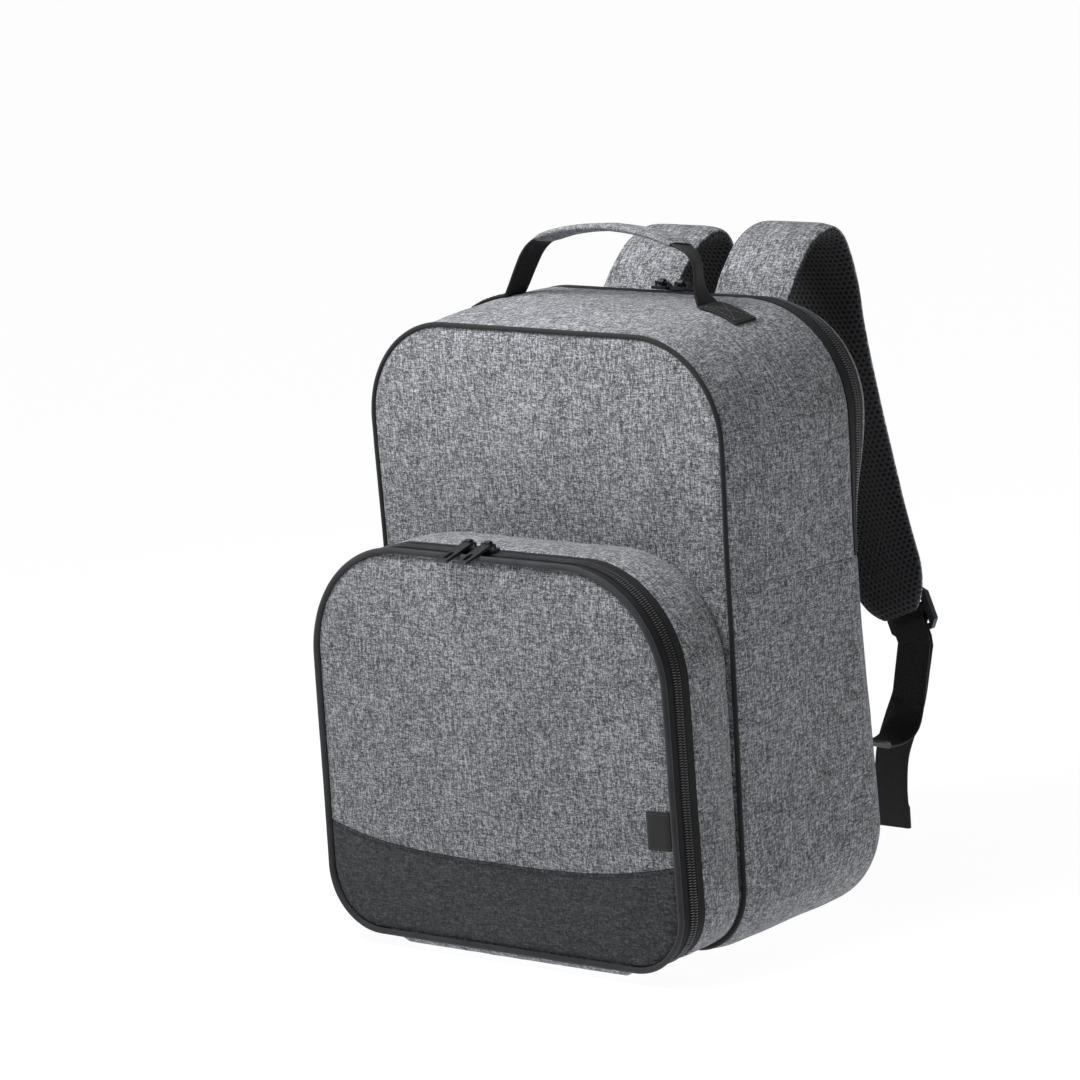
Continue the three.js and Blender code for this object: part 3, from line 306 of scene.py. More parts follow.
def body_outline(split):
    def at(y):
        row = BODY_SECTIONS.at((y - Y_FRONT) / BODY_DEPTH)
        half = BODY_WIDTH / 2
        from_edge = min(y - Y_FRONT, Y_BACK - y)
        lift = BASE_EDGE_LIFT * np.clip(1 - from_edge / BASE_EDGE_LENGTH, 0, 1) ** 2
        return dict(
            top_half=row["top"] * half, middle_half=row["middle"] * half,
            foot_half=row["foot"] * half, top=row["height"] * BODY_HEIGHT, foot=lift,
            top_radius=row["top_radius"] * BODY_TOP_RADIUS,
            foot_radius=row["foot_radius"] * BODY_FOOT_RADIUS, foot_split=BODY_WIDTH / 6,
            side_split=split, waist=SIDE_SEAM_HEIGHT, shoulder=SHOULDER_HEIGHT)
    return at


def pocket_outline(y):
    row = POCKET_SECTIONS.at((Y_FRONT - y) / POCKET_DEPTH)
    half = POCKET_WIDTH / 2
    middle = (POCKET_TOP + POCKET_FOOT) / 2
    return dict(
        top_half=row["top"] * half, middle_half=row["middle"] * half,
        foot_half=row["foot"] * half, top=row["rise"] * POCKET_TOP, foot=POCKET_FOOT,
        top_radius=row["top_radius"] * POCKET_TOP_RADIUS,
        foot_radius=row["foot_radius"] * POCKET_FOOT_RADIUS, foot_split=HINGE_WIDTH / 2,
        side_split=middle, waist=middle, shoulder=POCKET_TOP)


body = body_outline(SIDE_SEAM_HEIGHT)


def loft(outline_at, ys, ts):
    rows = []
    for y in ys:
        x, z = outline(outline_at(y), ts)
        rows.append(np.stack([x, np.full_like(x, y), z], -1))
    return np.array(rows)


def run_of(points):
    """Distance along a list of points, from 0 at the first."""
    return np.concatenate([[0], np.cumsum(np.linalg.norm(np.diff(points, axis=0), axis=1))])


def point_at(points, run, distance):
    return np.stack([np.interp(distance, run, points[:, k]) for k in range(3)], -1)


def even_stops(outline_at, y, start, end, step):
    """Values of t that are evenly spaced round an outline."""
    fine = np.linspace(start, end, 1600)
    x, z = outline(outline_at(y), fine)
    run = run_of(np.stack([x, z], -1))
    count = max(2, round(run[-1] / step))
    return np.interp(np.linspace(0, run[-1], count + 1), run, fine)


def spaced(start, end, step):
    return np.linspace(start, end, max(1, round(abs(end - start) / step)) + 1)


def normals(points, loop=False):
    down = np.gradient(points, axis=0)
    if loop:
        along = np.roll(points, -1, 1) - np.roll(points, 1, 1)
    else:
        along = np.gradient(points, axis=1)
    return unit(np.cross(down, along))


def lifted(outline_at, y, ts, lift):
    """Points over a skin at one depth, with the skin's normals there."""
    near = loft(outline_at, [y - 0.05, y, y + 0.05], np.concatenate([ts - 0.01, ts, ts + 0.01]))
    n = len(ts)
    deep = near[2, n:2 * n] - near[0, n:2 * n]
    along = near[1, 2 * n:] - near[1, :n]
    normal = unit(np.cross(deep, along))
    return near[1, n:2 * n] + normal * lift, normal


# Cloth relief

def noise_at(points, scale, seed):
    flat = points.reshape(-1, 3) / scale + seed
    return np.array([noise.noise(p) for p in flat.tolist()]).reshape(points.shape[:-1])


def relief(points, normal, edge, seed, sag=SAG, dip=SEAM_DIP, scale=48, crease=1.0):
    """Moves a sheet of cloth along its normals: sunk at its seams, puckered beside them, and
    slack and folded between them. edge is each point's distance from a seam."""
    inside = smoothstep(edge, 0, 30)
    move = -dip * np.exp(-(edge / SEAM_ROLL) ** 2)
    move += sag * inside * noise_at(points, scale, seed)
    move += 0.45 * sag * inside * noise_at(points, scale / 2.6, seed + 9)
    move += PUCKER * np.exp(-edge / PUCKER_REACH) * smoothstep(edge, 0, 3) * noise_at(points, 7, seed + 5)
    for middle, direction, length, width, depth in FOLDS:
        away = points - np.array(middle, float)
        along_line = away @ unit(np.array(direction, float))
        across = np.sqrt(np.maximum((away**2).sum(-1) - along_line**2, 0))
        move -= crease * depth * np.exp(-(along_line / length) ** 2 - (across / width) ** 2) \
            * smoothstep(edge, 0, 8)
    moved = points + normal * move[..., None]
    moved[..., 2] = np.maximum(moved[..., 2], np.minimum(points[..., 2], 0.02))
    return moved


# Meshes

def make_mesh(name, points, faces, corner_uv, material, sharp=35, tidy=True):
    """A mesh from millimetre points. corner_uv holds one place on the cloth per face corner."""
    mesh = bpy.data.meshes.new(name)
    mesh.from_pydata((np.asarray(points) * MM).tolist(), [], faces)
    layer = mesh.uv_layers.new(name="cloth")
    layer.data.foreach_set("uv", (np.asarray(corner_uv, float) * MM).ravel())
    if tidy:
        edit = bmesh.new()
        edit.from_mesh(mesh)
        bmesh.ops.recalc_face_normals(edit, faces=edit.faces)
        edit.to_mesh(mesh)
        edit.free()
    mesh.polygons.foreach_set("use_smooth", [True] * len(mesh.polygons))
    mesh.set_sharp_from_angle(angle=math.radians(sharp))
    mesh.materials.append(material)
    made = bpy.data.objects.new(name, mesh)
    bpy.context.scene.collection.objects.link(made)
    return made


def settle(made, slot, nodes=(), on="bag"):
    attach(made, on)
    if nodes:
        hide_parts(*nodes)
    return made


def quads_of(rows, columns, loop=False, start=0):
    """Faces of a grid, as corner indices, with the same corners in a grid whose seam is open."""
    i, j = np.meshgrid(np.arange(rows - 1), np.arange(columns if loop else columns - 1),
                       indexing="ij")
    i, j = i.ravel(), j.ravel()
    corners = [(i, j), (i + 1, j), (i + 1, j + 1), (i, j + 1)]
    faces = np.stack([a * columns + b % columns for a, b in corners], -1) + start
    return faces, corners


def grid_uv(uv, corners):
    return np.stack([uv[a, b] for a, b in corners], 1)


def wall(name, outer, inner, uv, material, loop=False, **options):
    """Closes a wall between two sheets of points with the same rows and columns."""
    rows, columns = outer.shape[:2]
    size = rows * columns
    outer_faces, corners = quads_of(rows, columns, loop)
    inner_faces = outer_faces[:, ::-1] + size
    uvs = [grid_uv(uv, corners), grid_uv(uv, corners)[:, ::-1]]
    faces = [outer_faces, inner_faces]
    depth = float(np.linalg.norm(outer - inner, axis=-1).mean())
    up, over = np.array([0, depth]), np.array([depth, 0])
    for i in (0, rows - 1):
        j = np.arange(columns if loop else columns - 1)
        a, b = i * columns + j, i * columns + (j + 1) % columns
        faces.append(np.stack([a, b, b + size, a + size], -1))
        rim = up if abs(uv[0, 0, 1] - uv[-1, 0, 1]) > abs(uv[0, 0, 0] - uv[-1, 0, 0]) else over
        uvs.append(np.stack([uv[i, j], uv[i, j + 1], uv[i, j + 1] + rim, uv[i, j] + rim], 1))
    if not loop:
        for j in (0, columns - 1):
            i = np.arange(rows - 1)
            a, b = i * columns + j, (i + 1) * columns + j
            faces.append(np.stack([a, b, b + size, a + size], -1))
            rim = up if abs(uv[0, 0, 1] - uv[0, -1, 1]) > abs(uv[0, 0, 0] - uv[0, -1, 0]) else over
            uvs.append(np.stack([uv[i, j], uv[i + 1, j], uv[i + 1, j] + rim, uv[i, j] + rim], 1))
    points = np.concatenate([outer.reshape(-1, 3), inner.reshape(-1, 3)])
    return make_mesh(name, points, np.concatenate(faces).tolist(), np.concatenate(uvs),
                     material, **options)


def sweep(name, rings, uv, material, closed=False, **options):
    """A closed body through rings of points. uv has one more column than a ring has points."""
    count, sides = rings.shape[:2]
    lengths = count if closed else count - 1
    i, j = np.meshgrid(np.arange(lengths), np.arange(sides), indexing="ij")
    i, j = i.ravel(), j.ravel()
    corners = [(i, j), (i + 1, j), (i + 1, j + 1), (i, j + 1)]
    faces = np.stack([(a % count) * sides + b % sides for a, b in corners], -1).tolist()
    uvs = [grid_uv(uv, corners).reshape(-1, 2)]
    if not closed:
        for ring in (0, count - 1):
            faces.append([ring * sides + k for k in range(sides)])
            uvs.append(uv[ring, :sides])
    return make_mesh(name, rings.reshape(-1, 3), faces, np.concatenate(uvs), material, **options)


def scatter(name, shape, faces, places, material, **options):
    """One mesh of many copies of a small shape. places are (middle, x, y, z) with unit axes."""
    middle, x, y, z = [np.asarray(p, float) for p in places]
    shape = np.asarray(shape, float)
    points = (middle[:, None] + shape[None, :, :1] * x[:, None] + shape[None, :, 1:2] * y[:, None]
              + shape[None, :, 2:] * z[:, None])
    copies = len(middle)
    every = [[v + k * len(shape) for v in face] for k in range(copies) for face in faces]
    uv = np.concatenate([shape[list(face), :2] for face in faces])
    uv = np.tile(uv, (copies, 1)) + np.repeat(np.arange(copies) * 3.7, len(uv))[:, None]
    return make_mesh(name, points.reshape(-1, 3), every, uv, material, **options)


def capsule(length, width, height, sides=6, rings=4):
    """A small rounded bar along X."""
    points, faces = [], []
    for k in range(rings):
        share = -1 + 2 * k / (rings - 1)
        reach = 0.45 if abs(share) == 1 else 1
        for s in range(sides):
            angle = 2 * math.pi * s / sides
            points.append((share * length / 2, reach * width / 2 * math.cos(angle),
                           reach * height / 2 * math.sin(angle)))
    for k in range(rings - 1):
        for s in range(sides):
            a, b = k * sides + s, k * sides + (s + 1) % sides
            faces.append((a, b, b + sides, a + sides))
    faces.append(tuple(range(sides))[::-1])
    faces.append(tuple(range((rings - 1) * sides, rings * sides)))
    return points, faces


def along_path(points, normal, pitch, start=0.0):
    """Places at even distances along a path: middle, direction, across and normal."""
    run = run_of(points)
    at = np.arange(start + pitch / 2, run[-1], pitch)
    middle = point_at(points, run, at)
    direction = unit(point_at(points, run, at + 0.3) - point_at(points, run, at - 0.3))
    up = unit(point_at(normal, run, at))
    across = unit(np.cross(up, direction))
    return middle, direction, across, up


def refine(points, across, step=2.5):
    """The same route with points no further apart than step."""
    points, across = np.array(points, float), np.array(across, float)
    run = run_of(points)
    at = np.unique(np.concatenate([run, np.arange(0, run[-1], step)]))
    keep = np.concatenate([[True], np.diff(at) > 0.05])
    at = at[keep]
    return point_at(points, run, at), unit(point_at(across, run, at))


def on_piece(made, points, lift=0.18):
    """A path laid on the nearest surface of a piece, with the surface's normals."""
    mesh = made.data
    tree = BVHTree.FromPolygons([v.co.copy() for v in mesh.vertices],
                                [tuple(face.vertices) for face in mesh.polygons])
    points = np.array(points, float)
    dense, _ = refine(points, np.ones_like(points), 1.2)
    found = [tree.find_nearest(Vector(p * MM)) for p in dense]
    places = np.array([list(f[0]) for f in found]) / MM
    normal = np.array([list(f[1]) for f in found])
    return places + normal * lift, normal


def box_cross(place, length, width):
    """The paths of a sewn box with a cross in it. place(along, across) gives a point."""
    half = width / 2
    corners = [place(0, -half), place(length, -half), place(length, half), place(0, half)]
    a, b, c, d = corners
    return [[a, b, c, d, a], [a, c], [b, d]]


def stitches(name, made, paths, material, pitch=STITCH_PITCH, length=STITCH_LENGTH, width=0.55):
    """Rows of thread stitches laid on a piece."""
    found = [along_path(*on_piece(made, path), pitch) for path in paths]
    places = [np.concatenate([f[k] for f in found]) for k in range(4)]
    shape, faces = capsule(length, width, width * 0.7)
    made = scatter(name, shape, faces, places, material, tidy=False)
    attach(made, "bag")
    return made


# Materials

class Shader:
    """A procedural material. Its nodes are added from plain calls."""

    def __init__(self, name, **sockets):
        self.material = bpy.data.materials.new(name)
        self.material.use_nodes = True
        self.tree = self.material.node_tree
        self.shader = self.tree.nodes["Principled BSDF"]
        for key, value in sockets.items():
            self.shader.inputs[key.replace("_", " ")].default_value = value

    def add(self, kind, *inputs, out=0, **settings):
        node = self.tree.nodes.new("ShaderNode" + kind)
        for key, value in settings.items():
            if key in node.inputs:
                self.put(value, node.inputs[key])
            else:
                setattr(node, key, value)
        for k, value in enumerate(inputs):
            if value is not None:
                self.put(value, node.inputs[k])
        return node.outputs[out]

    def put(self, value, socket):
        if isinstance(value, bpy.types.NodeSocket):
            self.tree.links.new(value, socket)
        else:
            socket.default_value = value

    def math(self, operation, *inputs):
        return self.add("Math", *inputs, operation=operation)

    def ramp(self, value, *stops):
        node = self.tree.nodes.new("ShaderNodeValToRGB")
        self.put(value, node.inputs[0])
        ramp = node.color_ramp
        for k, (place, color) in enumerate(stops):
            element = ramp.elements[k] if k < 2 else ramp.elements.new(place)
            element.position = place
            element.color = (*color, 1)
        return node.outputs[0]

    def cloth_axes(self):
        """Across and along the cloth, in metres."""
        uv = self.add("UVMap", uv_map="cloth")
        split = self.tree.nodes.new("ShaderNodeSeparateXYZ")
        self.put(uv, split.inputs[0])
        return uv, split.outputs[0], split.outputs[1]

    def threads(self, across, along, pitch, length, seed):
        """A value that changes slowly along each thread and jumps from thread to thread."""
        number = self.math("FLOOR", self.math("DIVIDE", across, pitch))
        shift = self.math("MULTIPLY_ADD", number, 7.31, seed)
        place = self.add("CombineXYZ", shift, self.math("DIVIDE", along, length), 0.0)
        return self.add("TexNoise", Vector=place, Scale=1.0, Detail=1.0, Roughness=0.6,
                        noise_dimensions="2D")

    def grain(self, place, scale, detail):
        """Fine unevenness over the cloth. scale is in steps to the metre."""
        return self.add("TexNoise", Vector=place, Scale=scale, Detail=detail, noise_dimensions="2D")

    def yarn(self, across, along, pitch, length, seed):
        """A value for each short piece of each thread."""
        number = self.math("FLOOR", self.math("DIVIDE", across, pitch))
        stagger = self.math("MULTIPLY_ADD", number, 0.618, seed)
        piece = self.math("FLOOR", self.math("ADD", self.math("DIVIDE", along, length), stagger))
        place = self.add("CombineXYZ", number, piece, seed)
        return self.add("TexWhiteNoise", Vector=place, noise_dimensions="3D")

    def bump(self, height, distance, strength=1.0, normal=None):
        node = self.tree.nodes.new("ShaderNodeBump")
        node.inputs["Strength"].default_value = strength
        node.inputs["Distance"].default_value = distance
        self.put(height, node.inputs["Height"])
        if normal is not None:
            self.put(normal, node.inputs["Normal"])
        return node.outputs[0]

    def finish(self, color=None, rough=None, normal=None):
        if color is not None:
            self.put(color, self.shader.inputs["Base Color"])
        if rough is not None:
            self.put(rough, self.shader.inputs["Roughness"])
        if normal is not None:
            self.put(normal, self.shader.inputs["Normal"])
        return self.material


def weave_height(s, across, along, pitch):
    """Over-and-under relief of a plain weave."""
    u = s.math("SINE", s.math("MULTIPLY", across, math.pi / pitch))
    v = s.math("SINE", s.math("MULTIPLY", along, math.pi / pitch))
    return s.math("ABSOLUTE", s.math("MULTIPLY", u, v))


def heather(name, dark, middle, light, pitch=0.00054, slub=0.24,
            level=0.9, seed=0.0):
    """Melange cloth: light and dark threads crossing, with longer slubs each way."""
    s = Shader(name, Roughness=0.88, Sheen_Weight=0.12, Sheen_Roughness=0.5,
               Specular_IOR_Level=0.25)
    uv, u, v = s.cloth_axes()
    warp = s.yarn(u, v, pitch, 0.0015, 3.0 + seed)
    weft = s.yarn(v, u, pitch, 0.0017, 41.0 + seed)
    long_warp = s.threads(u, v, pitch, 0.010, 87.0 + seed)
    long_weft = s.threads(v, u, pitch, 0.008, 19.0 + seed)
    mix = s.math("MULTIPLY_ADD", warp, 0.15, 0.5 - 0.15 - slub)
    mix = s.math("ADD", mix, s.math("MULTIPLY", weft, 0.15))
    mix = s.math("ADD", mix, s.math("MULTIPLY", long_warp, slub * (2 - level)))
    mix = s.math("ADD", mix, s.math("MULTIPLY", long_weft, slub * level))
    fine = s.grain(uv, 2000.0, 1.0)
    mix = s.math("ADD", mix, s.math("MULTIPLY", s.math("SUBTRACT", fine, 0.5), 0.30))
    broad = s.grain(uv, 14.0, 2.0)
    mix = s.math("ADD", mix, s.math("MULTIPLY", s.math("SUBTRACT", broad, 0.5), 0.04))
    color = s.ramp(mix, (0.34, dark), (0.66, light), (0.50, middle))
    height = s.math("ADD", weave_height(s, u, v, pitch), s.math("MULTIPLY", warp, 0.8))
    rough = s.math("MULTIPLY_ADD", warp, 0.12, 0.82)
    return s.finish(color, rough, s.bump(height, 0.00018, 0.5))


heather_cloth = heather("heather_cloth", (0.020, 0.021, 0.024), (0.155, 0.158, 0.170),
                        (0.50, 0.51, 0.54))
charcoal_cloth = heather("charcoal_cloth", (0.006, 0.006, 0.007), (0.034, 0.035, 0.039),
                         (0.10, 0.102, 0.11), slub=0.16,
                         level=1.7, seed=200.0)


def twill(name, base, light, pitch, roughness, weight=0.25, tilt=1.0):
    """Dark cloth with fine slanting ribs."""
    s = Shader(name, Roughness=roughness, Sheen_Weight=weight * 0.4, Sheen_Roughness=0.5,
               Specular_IOR_Level=0.3)
    uv, u, v = s.cloth_axes()
    slant = s.math("ADD", u, s.math("MULTIPLY", v, tilt))
    rib = s.math("SINE", s.math("MULTIPLY", slant, 2 * math.pi / pitch))
    grain = s.grain(uv, 1700.0, 2.0)
    wear = s.grain(uv, 60.0, 3.0)
    value = s.math("ADD", s.math("MULTIPLY_ADD", rib, 0.10, 0.30), s.math("MULTIPLY", grain, 0.35))
    value = s.math("ADD", value, s.math("MULTIPLY", s.math("SUBTRACT", wear, 0.5), 0.25))
    color = s.ramp(value, (0.25, base), (0.75, light))
    height = s.math("ADD", s.math("MULTIPLY", rib, 0.5), s.math("MULTIPLY", grain, 0.5))
    return s.finish(color, None, s.bump(height, 0.00018, 0.6))


piping_cloth = twill("piping_cloth", (0.006, 0.006, 0.007), (0.062, 0.064, 0.069), 0.0011, 0.8)
dark_piping_cloth = twill("dark_piping_cloth", (0.005, 0.005, 0.006), (0.018, 0.0185, 0.020),
                          0.0011, 0.8)
zip_tape = twill("zip_tape", (0.003, 0.003, 0.0035), (0.012, 0.012, 0.013), 0.0010, 0.9,
                 weight=0.1, tilt=0.0)
label_cloth = twill("label_cloth", (0.010, 0.010, 0.011), (0.026, 0.027, 0.029), 0.0007, 0.7)
thread = twill("thread", (0.050, 0.052, 0.056), (0.110, 0.113, 0.120), 0.0005, 0.6)
black_thread = twill("black_thread", (0.004, 0.004, 0.005), (0.016, 0.016, 0.018), 0.0005, 0.6)


def webbing_material():
    """Black woven webbing: fine ribs along it, crossed by rows of weft, with plain selvedges."""
    s = Shader("webbing", Roughness=0.68, Sheen_Weight=0.04, Specular_IOR_Level=0.3)
    uv, u, v = s.cloth_axes()
    rib = s.math("SINE", s.math("MULTIPLY", u, 2 * math.pi / 0.0016))
    row = s.math("SINE", s.math("MULTIPLY", v, 2 * math.pi / 0.0014))
    grain = s.grain(uv, 1600.0, 2.0)
    # Where ribs and weft rows cross, the weave is raised in the bump and also painted lighter in colour:
    # painted glints on the crossings of black yarn.
    crossing_relief_and_glint = s.math("MULTIPLY", s.math("MULTIPLY_ADD", rib, 0.5, 0.5),
                  s.math("MULTIPLY_ADD", row, 0.5, 0.5))
    value = s.math("ADD", s.math("MULTIPLY", crossing_relief_and_glint, 0.55), s.math("MULTIPLY", grain, 0.45))
    color = s.ramp(value, (0.15, (0.0015, 0.0015, 0.0018)), (0.85, (0.017, 0.017, 0.019)))
    rough = s.math("MULTIPLY_ADD", grain, 0.25, 0.50)
    return s.finish(color, rough, s.bump(value, 0.00035, 0.8))


def mesh_material():
    """Black spacer mesh: a fine knit with rows of round holes."""
    s = Shader("air_mesh", Roughness=0.8, Sheen_Weight=0.10, Specular_IOR_Level=0.2)
    uv, u, v = s.cloth_axes()
    pitch = 0.0036

    def lattice(shift):
        a = s.math("SUBTRACT", s.math("FRACT", s.math("MULTIPLY_ADD", u, 1 / pitch, shift)), 0.5)
        b = s.math("SUBTRACT", s.math("FRACT", s.math("MULTIPLY_ADD", v, 1 / pitch / 1.732, shift)),
                   0.5)
        b = s.math("MULTIPLY", b, 1.732)
        return s.math("SQRT", s.math("ADD", s.math("MULTIPLY", a, a), s.math("MULTIPLY", b, b)))

    near = s.math("MINIMUM", lattice(0.0), lattice(0.5))
    knit_vs_shaded_hole = s.add("MapRange", near, 0.20, 0.40, 0.0, 1.0, interpolation_type="SMOOTHSTEP")
    grain = s.grain(uv, 1800.0, 2.0)
    value = s.math("MULTIPLY", knit_vs_shaded_hole, s.math("MULTIPLY_ADD", grain, 0.7, 0.5))
    # The round holes are painted near black against the knit: painted shade in the openings.
    color = s.ramp(value, (0.05, (0.0025, 0.0025, 0.003)), (0.85, (0.036, 0.037, 0.040)))
    return s.finish(color, None, s.bump(knit_vs_shaded_hole, 0.0007, 1.0))


def plastic(name, base, light, roughness, scale=900.0, coat=0.0):
    """Moulded plastic with a fine spark-eroded grain."""
    s = Shader(name, Specular_IOR_Level=0.5, Coat_Weight=coat, Coat_Roughness=0.3)
    place = s.add("TexCoord", out=3)
    grain = s.add("TexNoise", Vector=place, Scale=scale, Detail=3.0)
    broad = s.add("TexNoise", Vector=place, Scale=35.0, Detail=3.0)
    color = s.ramp(s.math("ADD", s.math("MULTIPLY", grain, 0.3), s.math("MULTIPLY", broad, 0.7)),
                   (0.35, base), (0.65, light))
    rough = s.math("MULTIPLY_ADD", broad, 0.14, roughness - 0.07)
    return s.finish(color, rough, s.bump(grain, 0.00006, 0.5))


def enamel():
    """Black enamelled metal, a little worn."""
    s = Shader("zip_metal", Metallic=0.1, Specular_IOR_Level=0.5, Coat_Weight=0.3,
               Coat_Roughness=0.15)
    place = s.add("TexCoord", out=3)
    scuff = s.add("TexNoise", Vector=place, Scale=260.0, Detail=4.0)
    fine = s.add("TexNoise", Vector=place, Scale=2200.0, Detail=2.0)
    color = s.ramp(scuff, (0.40, (0.004, 0.004, 0.005)), (0.72, (0.020, 0.021, 0.023)))
    rough = s.math("MULTIPLY_ADD", scuff, 0.22, 0.24)
    return s.finish(color, rough, s.bump(fine, 0.00004, 0.4))


webbing = webbing_material()
air_mesh = mesh_material()
# The zip teeth are painted mid grey, lighter than their dark plastic: a painted highlight that stands for
# the glints on each tooth.
coil_plastic_painted_glints = plastic("coil_plastic_painted_glints", (0.085, 0.087, 0.094), (0.150, 0.153, 0.162), 0.25)
buckle_plastic = plastic("buckle_plastic", (0.016, 0.017, 0.019), (0.030, 0.031, 0.034), 0.42)
zip_metal = enamel()


# Main body: gussets, panels, piping and the zip between them

gusset_front = Y_FRONT + PIPING_CLEAR - CLOTH_REACH
gusset_back = Y_BACK - BACK_PAD - GAP
zip_middle = Y_BACK - MAIN_ZIP_FROM_BACK
coil_front, coil_back = zip_middle - COIL_WIDTH / 2, zip_middle + COIL_WIDTH / 2
tape_front = coil_front - GAP - MAIN_TAPE_WIDTH
tape_back = coil_back + GAP + MAIN_TAPE_WIDTH


def cloth_strip(name, outline_at, y0, y1, t0, t1, thickness, material, slot, seed,
                loop=False, ends=True, lift=0.0, **options):
    """A gusset of cloth between two depths, sunk where it is sewn."""
    middle = (y0 + y1) / 2
    ts = even_stops(outline_at, middle, t0, t1, CLOTH_STEP)
    if loop:
        ts = ts[:-1]
    fine = np.array([0, 0.8, 1.8, 3.0, 4.6])
    inner_ys = spaced(y0 + 7, y1 - 7, CLOTH_STEP) if y1 - y0 > 18 else spaced(y0 + 1, y1 - 1, 1.5)
    ys = np.concatenate([y0 + fine, inner_ys, (y1 - fine)[::-1]]) if y1 - y0 > 18 else \
        np.concatenate([[y0], inner_ys, [y1]])
    points = loft(outline_at, ys, ts)
    normal = normals(points, loop)
    run = run_of(points[len(ys) // 2])
    edge = np.minimum(ys - y0, y1 - ys)[:, None] + np.zeros(len(ts))
    if ends and not loop:
        edge = np.minimum(edge, np.minimum(run, run[-1] - run)[None])
    outer = relief(points, normal, edge, seed, **options) + normal * lift
    inner = points - normal * thickness
    if loop:
        run = np.append(run, run[-1] + CLOTH_STEP)
    u, v = np.meshgrid(run, ys)
    return settle(wall(name, outer, inner, np.stack([v, u], -1), material, loop=loop), slot,
                  (name.removesuffix("_cloth"),))


upper_body = body_outline(SIDE_SEAM_HEIGHT + GAP / 2)
lower_body = body_outline(SIDE_SEAM_HEIGHT - GAP / 2)
UPPER = (SIDE_LEG, 2 * LEGS - SIDE_LEG)
LOWER = (-SIDE_LEG, SIDE_LEG)

cloth_strip("gusset_upper_cloth", upper_body, gusset_front, tape_front - GAP, *UPPER, BODY_WALL,
            heather_cloth, "heather_cloth", 1.3)
cloth_strip("gusset_lower_cloth", lower_body, gusset_front, gusset_back, *LOWER, BODY_WALL,
            heather_cloth, "heather_cloth", 14.7)
cloth_strip("gusset_rear_cloth", upper_body, tape_back + GAP, gusset_back, *UPPER, BODY_WALL,
            heather_cloth, "heather_cloth", 27.1, sag=0.1, dip=0.2)


def tape(name, outline_at, y0, y1, t0, t1, lift=-GAP):
    """One side of a zip's tape, a little wavy."""
    ts = even_stops(outline_at, (y0 + y1) / 2, t0, t1, CLOTH_STEP)
    ys = np.linspace(y0, y1, 6)
    points = loft(outline_at, ys, ts)
    normal = normals(points)
    wave = 0.15 * noise_at(points, 9, 3.3)
    outer = points + normal * (lift + wave[..., None])
    inner = points + normal * (lift - TAPE_THICKNESS)
    u, v = np.meshgrid(run_of(points[3]), ys)
    return settle(wall(name, outer, inner, np.stack([v, u], -1), zip_tape), "zip_tape",
                  (name.removesuffix("_weave"),))


def coil(name, node, outline_at, y0, y1, t0, t1):
    """A coil zip: a woven core under two rows of teeth."""
    ts = even_stops(outline_at, (y0 + y1) / 2, t0, t1, CLOTH_STEP)
    ys = np.linspace(y0, y1, 5)
    points = loft(outline_at, ys, ts)
    normal = normals(points)
    u, v = np.meshgrid(run_of(points[2]), ys)
    core = wall(name + "_core", points - normal * 1.3, points - normal * 2.0,
                np.stack([v, u], -1), zip_tape)
    settle(core, "zip_tape", (node,))
    dense = even_stops(outline_at, (y0 + y1) / 2, t0, t1, 1.5)
    parts = []
    for share, shift in ((0.27, 0.0), (0.73, 0.5)):
        path, up = lifted(outline_at, lerp(y0, y1, share), dense, -0.2)
        parts.append(along_path(path, up, TOOTH_PITCH, shift * TOOTH_PITCH))
    middle, direction, across, up = [np.concatenate([p[k] for p in parts]) for k in range(4)]
    # Each tooth wears the coil plastic that is painted lighter, as a painted highlight.
    shape, faces = capsule(3.2, 0.80, 1.5, sides=6)
    teeth = scatter(name + "_teeth", shape, faces, (middle, across, direction, up), coil_plastic_painted_glints,
                    tidy=False)
    settle(teeth, "zip_coil")


tape("main_zip_tape_front_weave", upper_body, tape_front, coil_front - GAP, *UPPER)
tape("main_zip_tape_rear_weave", upper_body, coil_back + GAP, tape_back, *UPPER)
coil("main_zip", "main_zip_coil", upper_body, coil_front, coil_back, *UPPER)


def piping(name, node, outline_at, y, material, seed, share=1.0):
    """Cord piping covered in cloth, round a whole outline."""
    o = outline_at(y)
    ts = even_stops(outline_at, y, 0, 2 * LEGS, 2.6)[:-1]
    x, z = outline(o, ts)
    centre = np.stack([x, np.full_like(x, y), z], -1)
    along = unit(np.roll(centre, -1, 0) - np.roll(centre, 1, 0))
    out = unit(np.cross(along, np.array([0, 1.0, 0])))
    out *= np.sign((out * (centre - centre.mean(0))).sum(-1).mean())
    sides = 14
    angles = np.arange(sides) * 2 * np.pi / sides
    wobble = 1 + 0.035 * noise_at(centre, 8, seed)[:, None]
    radius = share * PIPING_RADIUS * wobble
    rings = (centre[:, None] + out[:, None] * (radius * np.cos(angles))[..., None]
             + np.array([0, 1.0, 0]) * (radius * np.sin(angles))[..., None])
    rings[..., 2] = np.maximum(rings[..., 2], 0.02)
    run = np.append(run_of(centre), 0)
    run[-1] = run[-2] + 2.6
    u = np.arange(sides + 1) * 2 * np.pi * PIPING_RADIUS / sides
    uv = np.stack(np.meshgrid(u, run), -1)
    return settle(sweep(name, rings, uv, material, closed=True), "piping_cloth", (node,))


piping("main_piping_cord", "main_piping", body, Y_FRONT, dark_piping_cloth, 2.0,
       share=MAIN_PIPING_SHARE)


def panel_edge(o, start, end, step):
    ts = even_stops(lambda y: o, 0, start, end, step)
    x, z = outline(o, ts)
    return np.stack([x, z], -1)


def pillow(o, x, z, power=3):
    across = np.clip(np.abs(x) / half_width(o, z), 0, 1)
    up = np.clip(np.abs(2 * (z - o["foot"]) / (o["top"] - o["foot"]) - 1), 0, 1)
    return (1 - across**power) * (1 - up**power)


